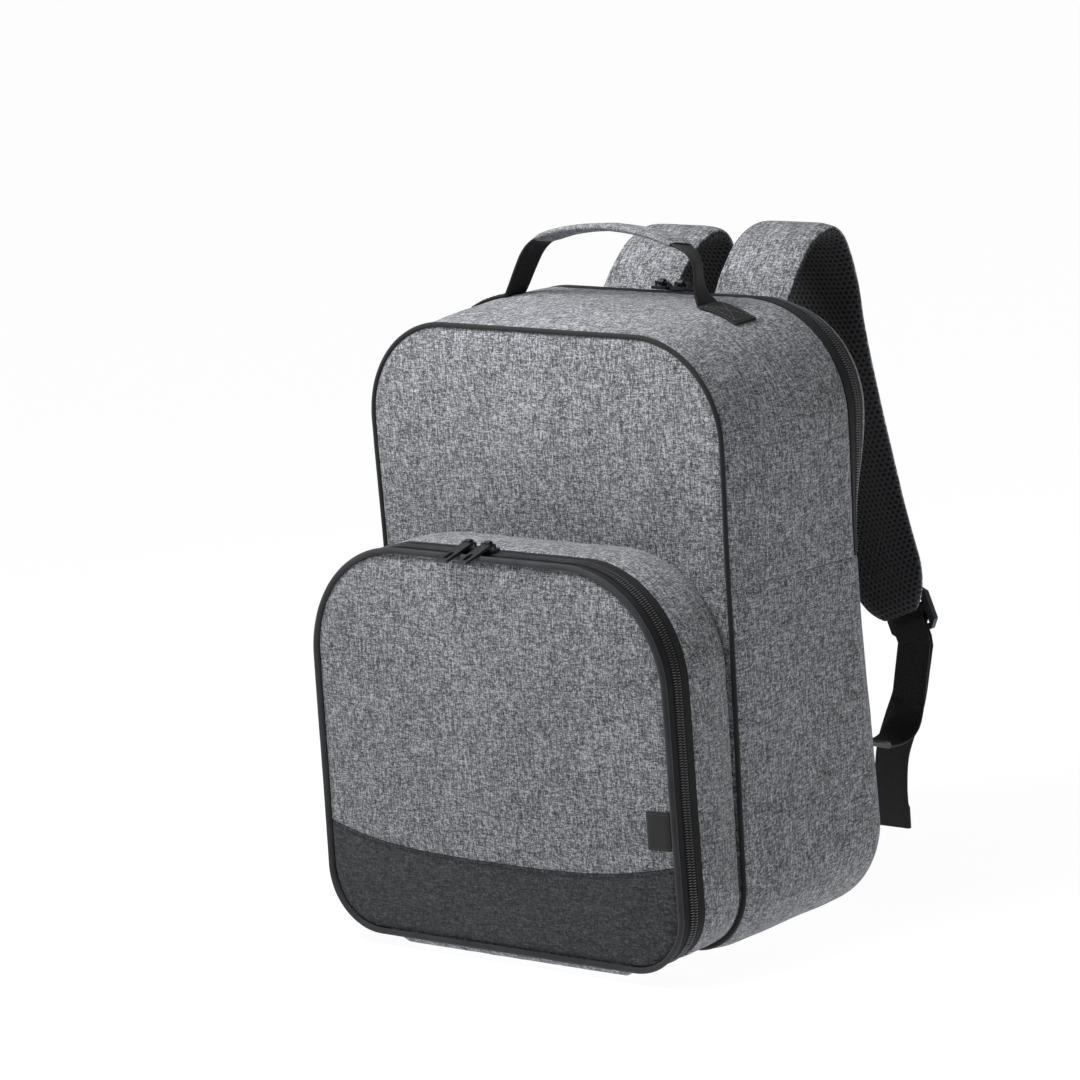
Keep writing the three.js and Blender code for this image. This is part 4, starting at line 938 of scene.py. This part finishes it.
def panel(name, node, o, start, end, face_at, thickness, material, slot, seed, back=False,
          shift=None, inner_edge=None, seams=None, **options):
    """A panel of cloth that fills part of an outline."""
    edge = panel_edge(o, start, end, PANEL_STEP)
    columns = max(8, round(2 * edge[:, 0].max() / PANEL_STEP))
    shares = np.linspace(-1, 1, columns + 1)
    # Columns are closer together at both sides, where the cloth turns into its seam.
    shares = np.sign(shares) * (1 - (1 - np.abs(shares)) ** 1.12)

    def sheet(rows, depth):
        x = shares[None] * rows[:, :1]
        z = rows[:, 1:] + 0 * x
        if shift is not None:
            z = z + shift(x, z)
        return np.stack([x, face_at(x, z) + depth, z], -1)

    points = sheet(edge, 0)
    inner = sheet(edge if inner_edge is None else inner_edge, thickness)
    sign = 1 if back else -1
    normal = np.zeros_like(points)
    normal[..., 1] = sign
    x, z = points[..., 0], points[..., 2]
    away = np.minimum(edge[:, :1] - np.abs(x), np.minimum(z - z.min(), z.max() - z))
    if seams is not None:
        away = seams(x, z, away)
    outer = relief(points, normal, away, seed, **options)
    return settle(wall(name, outer, inner, np.stack([x, z], -1), material), slot, (node,))


bulge_foot = POCKET_TOP + GAP
front_outline = {**inset(body(Y_FRONT), PIPING_CLEAR - CLOTH_REACH), "side_split": bulge_foot}


def front_face(x, z):
    above = np.clip((z - bulge_foot) / (front_outline["top"] - bulge_foot), 0, 1)
    return PANEL_FACE - FRONT_PANEL_BULGE * np.sin(np.pi * above) * pillow(front_outline, x, z)


panel("main_front_panel_cloth", "main_front_panel", front_outline, CORNER_LEG, TOP_CORNER_LEG + 1,
      front_face, BODY_WALL, heather_cloth, "heather_cloth", 33.0)

back_outline = body(Y_BACK)


def back_face(x, z):
    return Y_BACK + BACK_PAD_BULGE * pillow(back_outline, x, z)


back_inner = body(Y_BACK - BACK_PAD)
back_steps = len(panel_edge(back_outline, CORNER_LEG, TOP_CORNER_LEG + 1, PANEL_STEP))
back_fine = panel_edge(back_inner, CORNER_LEG, TOP_CORNER_LEG + 1, PANEL_STEP)
pick = np.linspace(0, len(back_fine) - 1, back_steps)
back_inner_edge = np.stack([np.interp(pick, np.arange(len(back_fine)), back_fine[:, k])
                            for k in range(2)], -1)
panel("back_panel_pad", "back_panel", back_outline, CORNER_LEG, TOP_CORNER_LEG + 1,
                back_face, -BACK_PAD, heather_cloth, "heather_cloth", 51.0, back=True,
                inner_edge=back_inner_edge, dip=0.8)


# Front pocket

pocket_front = Y_FRONT - POCKET_DEPTH
pocket_piping_back = pocket_front + PIPING_CLEAR
pocket_tape_front = pocket_piping_back + POCKET_TAPE_WIDTH
pocket_coil_front = pocket_tape_front + GAP
pocket_coil_back = pocket_coil_front + COIL_WIDTH
pocket_tape_back = pocket_coil_back + GAP + POCKET_TAPE_WIDTH

piping("pocket_piping_cord", "pocket_piping", pocket_outline, pocket_front, piping_cloth, 8.0)
cloth_strip("pocket_gusset_cloth", pocket_outline, pocket_tape_back + GAP, PANEL_FACE - GAP,
            0, 2 * LEGS, POCKET_WALL, heather_cloth, "heather_cloth", 61.0, loop=True)
zip_start = 1 + GAP / HINGE_WIDTH
ZIP = (zip_start, 2 * LEGS - zip_start)
tape("pocket_zip_tape_front_weave", pocket_outline, pocket_piping_back, pocket_tape_front, *ZIP)
tape("pocket_zip_tape_rear_weave", pocket_outline, pocket_coil_back + GAP, pocket_tape_back, *ZIP)
coil("pocket_zip", "pocket_zip_coil", pocket_outline, pocket_coil_front, pocket_coil_back, *ZIP)

hinge_middle = (pocket_piping_back + pocket_tape_back) / 2
hinge_half = (pocket_tape_back - pocket_piping_back) / 2
hinge_end = min(float(outline(pocket_outline(y), np.array([1.0]))[0][0])
                for y in (pocket_piping_back, pocket_tape_back)) - GAP
hinge_x, hinge_across = np.meshgrid(spaced(-hinge_end, hinge_end, 2.4), spaced(-1, 1, 0.125))
hinge_sag = (HINGE_SAG + HINGE_SLACK) * np.clip((hinge_end - np.abs(hinge_x)) / HINGE_SAG_TAPER, 0, 1)
hinge_points = np.stack([hinge_x, hinge_middle + hinge_across * hinge_half,
                         POCKET_FOOT - hinge_sag * np.cos(hinge_across * np.pi / 2) ** HINGE_FULLNESS], -1)
hinge_edge = hinge_half * (1 - np.abs(hinge_across))
hinge_outer = relief(hinge_points, normals(hinge_points), hinge_edge, 71.0, sag=0.6, dip=0.3, scale=22)
settle(wall("pocket_hinge_strip_cloth", hinge_outer, hinge_points + [0, 0, POCKET_WALL],
            np.stack([hinge_points[..., 1], hinge_x], -1), heather_cloth), "heather_cloth",
       ("pocket_hinge_strip",))

pocket_face_outline = inset(pocket_outline(pocket_front), PIPING_CLEAR)


def pocket_face(x, z):
    return pocket_front - POCKET_BULGE * pillow(pocket_face_outline, x, z)


def band_bow(x):
    return BAND_SEAM_BOW * (np.abs(x) / pocket_face_outline["top_half"]) ** 3


def band_shift(x, z):
    share = (z - pocket_face_outline["foot"]) / (BAND_SEAM_HEIGHT - pocket_face_outline["foot"])
    return band_bow(x) * share**2


def upper_shift(x, z):
    share = ((pocket_face_outline["top"] - z)
             / (pocket_face_outline["top"] - BAND_SEAM_HEIGHT))
    return band_bow(x) * share**2


def band_seams(x, z, away):
    return np.minimum(away, np.abs(BAND_SEAM_HEIGHT + band_bow(x) - z))


band_cloth = panel(
    "pocket_panel_band_cloth", "pocket_panel_band",
    {**pocket_face_outline, "side_split": BAND_SEAM_HEIGHT - GAP / 2}, CORNER_LEG, SIDE_LEG,
    pocket_face, POCKET_WALL, charcoal_cloth, "charcoal_cloth", 81.0, shift=band_shift,
    seams=band_seams)
band_x = np.linspace(-1, 1, 80) * (float(half_width(pocket_face_outline, np.array(BAND_SEAM_HEIGHT))) - 2)
band_z = BAND_SEAM_HEIGHT + band_bow(band_x) - TOPSTITCH_DROP
stitches("band_topstitch", band_cloth,
         [np.stack([band_x, pocket_face(band_x, band_z), band_z], -1)], black_thread,
         width=0.9)
panel("pocket_panel_upper_cloth", "pocket_panel_upper",
      {**pocket_face_outline, "side_split": BAND_SEAM_HEIGHT + GAP / 2}, SIDE_LEG,
      TOP_CORNER_LEG + 1, pocket_face, POCKET_WALL, heather_cloth, "heather_cloth", 91.0,
      shift=upper_shift, seams=band_seams)

label_right = float(half_width(pocket_face_outline, np.array(LABEL_FOOT))) - GAP
label_x = np.linspace(label_right - LABEL_WIDTH, label_right, 9)
label_z = np.linspace(LABEL_FOOT, LABEL_FOOT + LABEL_HEIGHT, 12)
lx, lz = np.meshgrid(label_x, label_z)
label_edge = np.minimum(np.minimum(lx - label_x[0], label_x[-1] - lx),
                        np.minimum(lz - label_z[0], label_z[-1] - lz))


def label_sheet(depth):
    return np.stack([lx, pocket_face(lx, lz) - depth, lz], -1)


label_outer = label_sheet(SEAT_GAP + TAPE_THICKNESS)
label_outer[..., 1] += 0.7 * np.exp(-(label_edge / 1.2) ** 2)
label = settle(wall("pocket_label_patch", label_outer, label_sheet(SEAT_GAP), np.stack([lx, lz], -1),
                    label_cloth), "label", ("pocket_label",))
label_border = [(x, pocket_face(x, z) - 2, z) for x, z in (
    (label_x[-1] - 1, label_z[0] + LABEL_STITCH_INSET),
    (label_x[0] + LABEL_STITCH_INSET, label_z[0] + LABEL_STITCH_INSET),
    (label_x[0] + LABEL_STITCH_INSET, label_z[-1] - LABEL_STITCH_INSET),
    (label_x[-1] - 1, label_z[-1] - LABEL_STITCH_INSET))]
stitches("label_stitches", label, [label_border], thread, pitch=2.0, length=1.4, width=0.35)


# Flat ribbons

def centripetal(points, steps):
    """Points on a smooth curve through a list of points, with steps between each two."""
    points = np.array(points, float)
    before = 2 * points[0] - points[1]
    after = 2 * points[-1] - points[-2]
    p = np.concatenate([[before], points, [after]])
    out = []
    for i in range(len(points) - 1):
        a, b, c, d = p[i:i + 4]
        ab, bc, cd = [max(np.linalg.norm(q - r), 1e-3) ** 0.5 for q, r in ((b, a), (c, b), (d, c))]
        m = ((b - a) / ab - (c - a) / (ab + bc) + (c - b) / bc) * bc
        n = ((c - b) / bc - (d - b) / (bc + cd) + (d - c) / cd) * bc
        for f in np.arange(steps) / steps:
            out.append((2 * f**3 - 3 * f**2 + 1) * b + (f**3 - 2 * f**2 + f) * m
                       + (3 * f**2 - 2 * f**3) * c + (f**3 - f**2) * n)
    return np.array(out + [points[-1]])


def frames_of(points, across):
    """Along, across and out of the face at each point of a route."""
    step = np.concatenate([points[1:], points[-1:]]) - np.concatenate([points[:1], points[:-1]])
    along = unit(step)
    side = unit(across - along * (across * along).sum(-1, keepdims=True))
    return side, np.cross(side, along)


def ribbon(name, points, across, section_at, material, **options):
    """A strip with a section of [across, out] offsets at each point of a route."""
    side, out = frames_of(points, across)
    rings, uv = [], []
    run = run_of(points)
    for i, p in enumerate(points):
        section = np.array(section_at(i, run[i]))
        rings.append(p + side[i] * section[:, :1] + out[i] * section[:, 1:])
        width = np.append(section[:, 0], section[0, 0])
        uv.append(np.stack([width, np.full(len(width), run[i])], -1))
    return sweep(name, np.array(rings), np.array(uv), material, **options)


def webbing_section(width, thickness=WEBBING_THICKNESS, face=None):
    """A flat section with rounded edges."""
    h, w = thickness / 2, width / 2
    top = h if face is None else face
    inner = np.linspace(-w + 1.1, w - 1.1, 7)
    lower = [(x, -h) for x in inner]
    upper = [(x, top) for x in inner[::-1]]
    right = [(w - 0.3, -h * 0.75), (w, 0), (w - 0.3, top * 0.75)]
    left = [(-w + 0.3, top * 0.75), (-w, 0), (-w + 0.3, -h * 0.75)]
    return lower + right + upper + left


# Grab handle: one webbing from patch to patch, and a padded grip round its middle

def top_point(outline_at, y, x, lift):
    """Point over the top of a skin at an X, with the normal there."""
    ts = np.linspace(TOP_CORNER_LEG, 2 * LEGS - TOP_CORNER_LEG, 900)
    places, normal = lifted(outline_at, y, ts, lift)
    base, _ = lifted(outline_at, y, ts, 0)
    order = np.argsort(base[:, 0])
    pick = lambda values: np.array([np.interp(x, base[order, 0], values[order, k]) for k in range(3)])
    return pick(places), unit(pick(normal))


handle_y = Y_FRONT + HANDLE_SETBACK
foot_x = HANDLE_SPAN / 2
patch_lift = SEAT_GAP + WEBBING_THICKNESS / 2
handle_foot, _ = top_point(body, handle_y, foot_x, patch_lift)
patch_points = [top_point(body, handle_y, x, patch_lift)[0]
                for x in np.linspace(foot_x + HANDLE_PATCH, foot_x, 4)]
lean = math.radians(HANDLE_LEAN)
arch_points = [handle_foot] + [
    np.array([out * foot_x, handle_y + rise * HANDLE_RISE * math.sin(lean),
              handle_foot[2] + rise * HANDLE_RISE * math.cos(lean)]) for out, rise in HANDLE_ROWS]
arch = centripetal(arch_points, 6)
half_route = np.concatenate([patch_points[:-1], arch])
mirror = np.array([-1.0, 1, 1])
handle_route = np.concatenate([half_route, half_route[-2::-1] * mirror])
turned = lean * np.clip(2 * (handle_route[:, 2] - handle_foot[2]) / HANDLE_RISE, 0, 1)
handle_across = np.stack([0 * turned, np.cos(turned), -np.sin(turned)], -1)
handle_route, handle_across = refine(handle_route, handle_across)
# The right leg of the handle twists and sways a little on its way up.
up_leg = (handle_route[:, 2] - handle_foot[2]) / (HANDLE_RISE * 0.8)
up_leg = np.where(handle_route[:, 0] > 0, np.clip(up_leg, 0, 1), 0)
leg_side, leg_out = frames_of(handle_route, handle_across)
twist = math.radians(HANDLE_TWIST) * np.sin(np.pi * up_leg)[:, None]
handle_across = leg_side * np.cos(twist) + leg_out * np.sin(twist)
handle_route[:, 0] -= HANDLE_SWAY * np.sin(2 * np.pi * up_leg)
handle_strip = settle(ribbon("handle_webbing_strip", handle_route, handle_across,
                             lambda i, d: webbing_section(HANDLE_WEBBING_WIDTH), webbing),
                      "webbing", ("handle_webbing",))
patch_paths = []
for sense in (-1, 1):
    patch_paths += box_cross(
        lambda along, across: top_point(body, handle_y + across, sense * (foot_x + 3 + along),
                                        patch_lift + WEBBING_THICKNESS)[0],
        HANDLE_PATCH - 5, HANDLE_WEBBING_WIDTH - 4.5)
stitches("handle_patch_stitches", handle_strip, patch_paths, thread)

in_grip = (np.abs(handle_route[:, 0]) <= GRIP_SHARE * foot_x + GAP) \
    & (handle_route[:, 2] > handle_foot[2] + HANDLE_RISE / 2)
grip_route, grip_across = handle_route[in_grip], handle_across[in_grip]
grip_run = run_of(grip_route)


def rounded(width, thickness, count=28, power=3.2):
    angle = np.arange(count) * 2 * np.pi / count
    c, s = np.cos(angle), np.sin(angle)
    return np.stack([width / 2 * np.sign(c) * np.abs(c) ** (2 / power),
                     thickness / 2 * np.sign(s) * np.abs(s) ** (2 / 2.3)], -1)


def grip_section(i, d):
    from_end = min(d, grip_run[-1] - d)
    full = smoothstep(np.array(from_end), -1, 5)
    return rounded(lerp(HANDLE_WEBBING_WIDTH + 2.4, GRIP_WIDTH, full),
                   lerp(WEBBING_THICKNESS + 1.6, GRIP_THICKNESS, full))


side, out = frames_of(grip_route, grip_across)
grip_outer = np.array([p + side[i] * grip_section(i, grip_run[i])[:, :1]
                       + out[i] * grip_section(i, grip_run[i])[:, 1:]
                       for i, p in enumerate(grip_route)])
slot_section = rounded(HANDLE_WEBBING_WIDTH + 2 * SEAT_GAP + 0.6, WEBBING_THICKNESS + 2 * SEAT_GAP + 0.3)
grip_inner = np.array([p + side[i] * slot_section[:, :1] + out[i] * slot_section[:, 1:]
                       for i, p in enumerate(grip_route)])
round_grip = np.arange(29) * 2.05
uv = np.stack(np.meshgrid(round_grip, grip_run), -1)
grip = settle(wall("handle_grip_cover", grip_outer, grip_inner, uv, heather_cloth, loop=True),
              "heather_cloth", ("handle_grip",))
grip_rows = []
for at in (3, -4):
    ends = [grip_route[at] + side[at] * across + out[at] * GRIP_THICKNESS for across in (-8, 8)]
    grip_rows.append(ends)
stitches("grip_stitches", grip, grip_rows, thread)


# Shoulder straps with their ladder locks and webbing

back_top = float(body(Y_BACK)["top"])
ridge = back_top + STRAP_RISE


def strap_curve(name, side):
    place = lambda back, z, splay: (side * (STRAP_SPACING / 2 + splay * STRAP_SPLAY),
                                    Y_BACK + back * STRAP_REACH, z)
    rise = [place(b, back_top + r * STRAP_RISE, s) for b, r, s in STRAP_RISE_ROWS]
    fall = [place(b, ridge - f * STRAP_FALL, s) for b, f, s in STRAP_FALL_ROWS]
    right_by, up_by = STRAP_SET[name]
    share = [r for _, r, _ in STRAP_RISE_ROWS] + [(1 - f) ** 2 for _, f, _ in STRAP_FALL_ROWS]
    move = np.array(share)[:, None] * [right_by, 0, up_by]
    return centripetal(np.array(rise + fall) + move, 8)


def add_strap(name, side):
    line = strap_curve(name, side)
    run = run_of(line)
    total = run[-1]
    at = np.concatenate([spaced(0, total - STRAP_ROUND, 3.2),
                         total - STRAP_ROUND * (1 - np.sin(np.linspace(0.06, 1, 16) * np.pi / 2))])
    points = point_at(line, run, at)
    across = np.tile([1.0, 0, 0], (len(points), 1))

    def half_at(distance):
        u = np.clip((distance - (total - STRAP_ROUND)) / STRAP_ROUND, 0, 1)
        return STRAP_WIDTH / 2 * np.sqrt(1 - (TIP_NARROWING * u) ** 2)

    shares = np.linspace(-1, 1, 25)

    def layer(start, thickness):
        def section(i, d):
            half = half_at(d)
            full = smoothstep(np.array(d), -4, STRAP_SEAM_TAPER)
            full = min(full, smoothstep(np.array(total - d), -6, 10))
            deep = lerp(STRAP_SEAM_THICKNESS, abs(thickness), full)
            crown = (1 - np.abs(shares) ** 6) * 0.62 + 0.38
            seam = 0.35 * np.exp(-((half * (1 - np.abs(shares)) - STRAP_STITCH_INSET) / 1.3) ** 2)
            height = np.sign(thickness) * (deep * crown - seam * full)
            top = np.stack([shares[::-1] * half, start + height[::-1]], -1)
            foot = np.stack([shares[::4] * half, np.full(len(shares[::4]), start)], -1)
            return np.concatenate([foot, top])
        return section

    cover = ribbon("strap_cover_pad_" + name, points, across, layer(GAP / 2, COVER_THICKNESS),
                   heather_cloth)
    settle(cover, "heather_cloth", ("strap_cover_" + name,))
    under = ribbon("strap_mesh_pad_" + name, points, across, layer(-GAP / 2, -MESH_THICKNESS),
                   air_mesh)
    settle(under, "air_mesh", ("strap_mesh_" + name,))
    side_vectors, out_vectors = frames_of(points, across)
    keep = at < total - 9
    rows = []
    for hand in (-1, 1):
        half = np.array([half_at(d) for d in at])[keep, None]
        rows.append(points[keep] + side_vectors[keep] * hand * (half - STRAP_STITCH_INSET)
                    + out_vectors[keep] * COVER_THICKNESS)
    stitches("strap_edge_stitches_" + name, cover, rows, thread, width=0.45)
    return dict(points=points, run=run_of(points), total=total, side=side_vectors,
                out=out_vectors, mesh=under)


ribbon_seat = GAP + WEBBING_THICKNESS / 2
ribbon_pitch = GAP + WEBBING_THICKNESS
bar_face = LOCK_THICKNESS / 2 + ribbon_seat
lock_slot = (LOCK_HEIGHT - 3 * LOCK_BAR) / 2
top_bar_foot = LOCK_BAR / 2 + lock_slot
lock_top = LOCK_HEIGHT / 2
lock_setback = GAP / 2 + COVER_THICKNESS + SEAT_GAP + 3 * ribbon_pitch
corner_seat = ribbon_seat * math.sqrt(0.5) + GAP / 10


def lock_frame(strap):
    above = point_at(strap["points"], strap["run"], strap["total"] - STRAP_END_START)
    tip = strap["points"][-1]
    angle = math.atan2(tip[0] - above[0], above[2] - tip[2])
    middle = tip + np.array([0, lock_setback, 0])
    across = np.array([math.cos(angle), 0, math.sin(angle)])
    up = np.array([-math.sin(angle), 0, math.cos(angle)])

    def at(out, height):
        return middle + np.array([0, out, 0]) + up * height, across
    return at


def round_bar(middle, sense):
    quarter = [(bar_face, 0), (bar_face, LOCK_BAR / 2 - GAP),
               (LOCK_THICKNESS / 2 + corner_seat, LOCK_BAR / 2 + corner_seat),
               (LOCK_THICKNESS / 2 - GAP, LOCK_BAR / 2 + ribbon_seat),
               (0, LOCK_BAR / 2 + ribbon_seat)]
    half = quarter + [(-a, b) for a, b in quarter[-2::-1]]
    return [(a, middle + sense * b) for a, b in half]


def add_strap_end(name, strap, at):
    def on_cover(distance, layers):
        d = strap["total"] - distance
        place = point_at(strap["points"], strap["run"], d)
        out = unit(point_at(strap["out"], strap["run"], d))
        side = unit(point_at(strap["side"], strap["run"], d))
        lift = GAP / 2 + COVER_THICKNESS + SEAT_GAP + WEBBING_THICKNESS / 2 + layers * ribbon_pitch
        return place + out * lift, side

    lap = np.linspace(STRAP_END_START + STRAP_END_LAP, STRAP_END_START, 4)
    places = [on_cover(d, 1) for d in lap]
    places.append(at(bar_face, lock_top + GAP))
    places += [at(a, b) for a, b in round_bar(top_bar_foot + LOCK_BAR / 2, -1)]
    places.append(at(-bar_face, lock_top + GAP))
    places += [on_cover(d, 0) for d in lap[:0:-1]]
    route, across = refine([p for p, _ in places], [a for _, a in places])
    strip = settle(ribbon("strap_end_strip_" + name, route, across,
                          lambda i, d: webbing_section(WEBBING_WIDTH), webbing),
                   "webbing", ("strap_end_webbing_" + name,))

    def over(lift):
        def place(along, across):
            d = strap["total"] - STRAP_END_START - 6 - along
            middle, side, out = [point_at(strap[key], strap["run"], d)
                                 for key in ("points", "side", "out")]
            return middle + side * across + out * lift
        return place

    length, width = STRAP_END_LAP - 9, WEBBING_WIDTH - 5
    stitches("strap_end_stitches_" + name, strip, box_cross(over(12), length, width), thread)
    stitches("strap_mesh_stitches_" + name, strap["mesh"], box_cross(over(-12), length, width),
             thread)


def add_lower_webbing(name, side, at):
    half = WEBBING_WIDTH / 2
    out_to = lambda share: side * share * BODY_WIDTH / 2
    flat = np.array([1.0, 0, 0])
    patch_x = out_to(LOAD_ROWS[0][0])

    def on_panel(up, extra):
        z = ANCHOR_HEIGHT + up
        slope = float(back_face(patch_x + half, np.array(z)) - back_face(patch_x - half, np.array(z)))
        lift = SEAT_GAP + WEBBING_THICKNESS / 2 + extra
        place = np.array([patch_x, float(back_face(patch_x, np.array(z))) + lift, z])
        return place, np.array([1, slope / WEBBING_WIDTH, 0])

    bend = 2 * WEBBING_THICKNESS
    places = [on_panel(up, 0) for up in np.linspace(ANCHOR_PATCH, bend, 3)]
    places.append(on_panel(bend / 2, WEBBING_THICKNESS / 2))
    load = centripetal([(out_to(o), Y_BACK + b * STRAP_REACH, h * ANCHOR_HEIGHT)
                        for o, b, h in LOAD_ROWS], 6)
    places += [(p, flat) for p in load]
    under = -bar_face - ribbon_pitch - GAP
    rise = [(under, -lock_top - LOCK_BAR), (under, -top_bar_foot - GAP),
            (under + GAP, lock_slot / 2 - top_bar_foot + GAP), (-bar_face - GAP, -LOCK_BAR / 2)]
    over = [(-a, b) for a, b in round_bar(0, 1)]
    corner = LOCK_THICKNESS / 2 + corner_seat
    down = [(bar_face, -LOCK_BAR / 2 + 2 * GAP), (corner, -LOCK_BAR / 2 - ribbon_seat),
            (corner / 4, -(LOCK_BAR + lock_slot) / 2 + GAP / 2),
            (-corner, -top_bar_foot + ribbon_seat), (-bar_face, -top_bar_foot - 2 * GAP),
            (-bar_face, -lock_top)]
    places += [at(a, b) for a, b in rise + over + down]
    leave, _ = at(-bar_face, -lock_top - LOCK_BAR)
    fall = leave[2] - TAIL_FOOT
    last = out_to(TAIL_ROWS[-1][1])
    tail = [(out_to(o), leave[1], leave[2] - drop * fall) for drop, o in TAIL_ROWS]
    tail = centripetal([leave, *tail, (last, leave[1], TAIL_FOOT + TAIL_HEM)], 5)
    places += [(p, flat) for p in tail]
    hem_from = sum(np.linalg.norm(np.diff(np.array([p for p, _ in places]), axis=0), axis=1))
    places.append((np.array([last, leave[1], TAIL_FOOT]), flat))
    route, across = refine([p for p, _ in places], [a for _, a in places])

    def section(i, d):
        hem = smoothstep(np.array(d), hem_from - 0.6, hem_from + 0.6)
        face = WEBBING_THICKNESS / 2 + WEBBING_THICKNESS * hem
        return webbing_section(WEBBING_WIDTH, face=face)

    strip = settle(ribbon("lower_webbing_strip_" + name, route, across, section, webbing), "webbing",
                   ("lower_webbing_" + name,))
    hem = [[(last - 10, leave[1] + 6, TAIL_FOOT + up), (last + 10, leave[1] + 6, TAIL_FOOT + up)]
           for up in (4, 8)]
    anchor = box_cross(lambda along, across: (patch_x + across, Y_BACK + 30, ANCHOR_HEIGHT + 6 + along),
                       ANCHOR_PATCH - 8, WEBBING_WIDTH - 5)
    stitches("lower_webbing_stitches_" + name, strip, hem + anchor, thread)


for strap_name, strap_side in (("left", -1), ("right", 1)):
    strap = add_strap(strap_name, strap_side)
    lock_at = lock_frame(strap)
    add_strap_end(strap_name, strap, lock_at)
    add_lower_webbing(strap_name, strap_side, lock_at)


# Rigid nodes that stay: sliders, pulls and ladder locks

def soften(node, width, material):
    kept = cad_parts[node]
    weld = kept.modifiers.new("weld", "WELD")
    weld.merge_threshold = 1e-5
    bevel = kept.modifiers.new("bevel", "BEVEL")
    bevel.width = width * MM
    bevel.segments = 3
    bevel.limit_method = "ANGLE"
    bevel.angle_limit = math.radians(25)
    bevel.harden_normals = False
    kept.data.materials.clear()
    kept.data.materials.append(material)
    kept.data.polygons.foreach_set("use_smooth", [True] * len(kept.data.polygons))
    smooth = kept.modifiers.new("faces", "WEIGHTED_NORMAL")
    smooth.keep_sharp = True


for end in ("left", "right"):
    for zip_name in ("pocket", "main"):
        soften(f"{zip_name}_slider_{end}", 0.45, zip_metal)
        soften(f"{zip_name}_pull_{end}", 0.35, zip_metal)
    soften(f"ladder_lock_{end}", 0.9, buckle_plastic)


# Camera, floor and light

FLOOR_DROP = 0.0004
FLOOR_TONE = 0.20
FLOOR_GLOW = 0.94
KEY_PLACE = (-0.12, -0.30, 0.75)
KEY_TARGET = (0, -0.06, 0.25)
KEY_SIZE = (0.45, 0.35)
KEY_POWER = 5.2
SKY_COLOR = (0.97, 0.985, 1.0, 1)
SKY_STRENGTH = 0.22
AZIMUTH = 0.7120454854
ELEVATION = 0.1967513034
ROLL = -0.0715430464
CAMERA_DISTANCE = 3363.092
FOCAL_PIXELS = 5660.411
FRAME_PIXELS = 1080
TARGET = np.array([-8.6358, -73.0652, 242.8902])

back = np.array([math.sin(AZIMUTH) * math.cos(ELEVATION), -math.cos(AZIMUTH) * math.cos(ELEVATION),
                 math.sin(ELEVATION)])
level = np.array([math.cos(AZIMUTH), math.sin(AZIMUTH), 0])
rise = np.cross(back, level)
right = math.cos(ROLL) * level + math.sin(ROLL) * rise
upward = -math.sin(ROLL) * level + math.cos(ROLL) * rise
eye = (TARGET + back * CAMERA_DISTANCE) * MM
lens = bpy.data.cameras.new("camera")
lens.sensor_width = 36
lens.lens = 36 * FOCAL_PIXELS / FRAME_PIXELS
lens.clip_start = 0.05
lens.clip_end = 100
camera = bpy.data.objects.new("camera", lens)
bpy.context.scene.collection.objects.link(camera)
camera.matrix_world = Matrix([[*row, eye[k]] for k, row in enumerate(zip(right, upward, back))]
                             + [[0, 0, 0, 1]])
bpy.context.scene.camera = camera

floor_mesh = bpy.data.meshes.new("floor")
floor_mesh.from_pydata([(-30, -30, 0), (30, -30, 0), (30, 30, 0), (-30, 30, 0)], [], [(0, 1, 2, 3)])
floor = bpy.data.objects.new("floor", floor_mesh)
bpy.context.scene.collection.objects.link(floor)
floor.location.z = -FLOOR_DROP
pale = Shader("floor", Roughness=0.9, Specular_IOR_Level=0.0)
pale.shader.inputs["Base Color"].default_value = (FLOOR_TONE, FLOOR_TONE, FLOOR_TONE, 1)
pale.shader.inputs["Emission Color"].default_value = (1, 1, 1, 1)
pale.shader.inputs["Emission Strength"].default_value = FLOOR_GLOW
floor_mesh.materials.append(pale.finish())


def area_light(name, place, target, size, power, color=(1, 1, 1)):
    light = bpy.data.lights.new(name, "AREA")
    light.shape = "RECTANGLE"
    light.size, light.size_y = size
    light.energy = power
    light.color = color
    lamp = bpy.data.objects.new(name, light)
    bpy.context.scene.collection.objects.link(lamp)
    lamp.location = place
    aim = Vector(target) - Vector(place)
    lamp.rotation_mode = "QUATERNION"
    lamp.rotation_quaternion = aim.to_track_quat("-Z", "Y")


area_light("key", KEY_PLACE, KEY_TARGET, KEY_SIZE, KEY_POWER)

world = bpy.data.worlds.new("world")
bpy.context.scene.world = world
world.use_nodes = True
world.node_tree.nodes["Background"].inputs[0].default_value = SKY_COLOR
world.node_tree.nodes["Background"].inputs[1].default_value = SKY_STRENGTH

scene = bpy.context.scene
scene.view_settings.view_transform = "Standard"
scene.view_settings.look = "None"
scene.view_settings.exposure = 0
scene.view_settings.gamma = 1
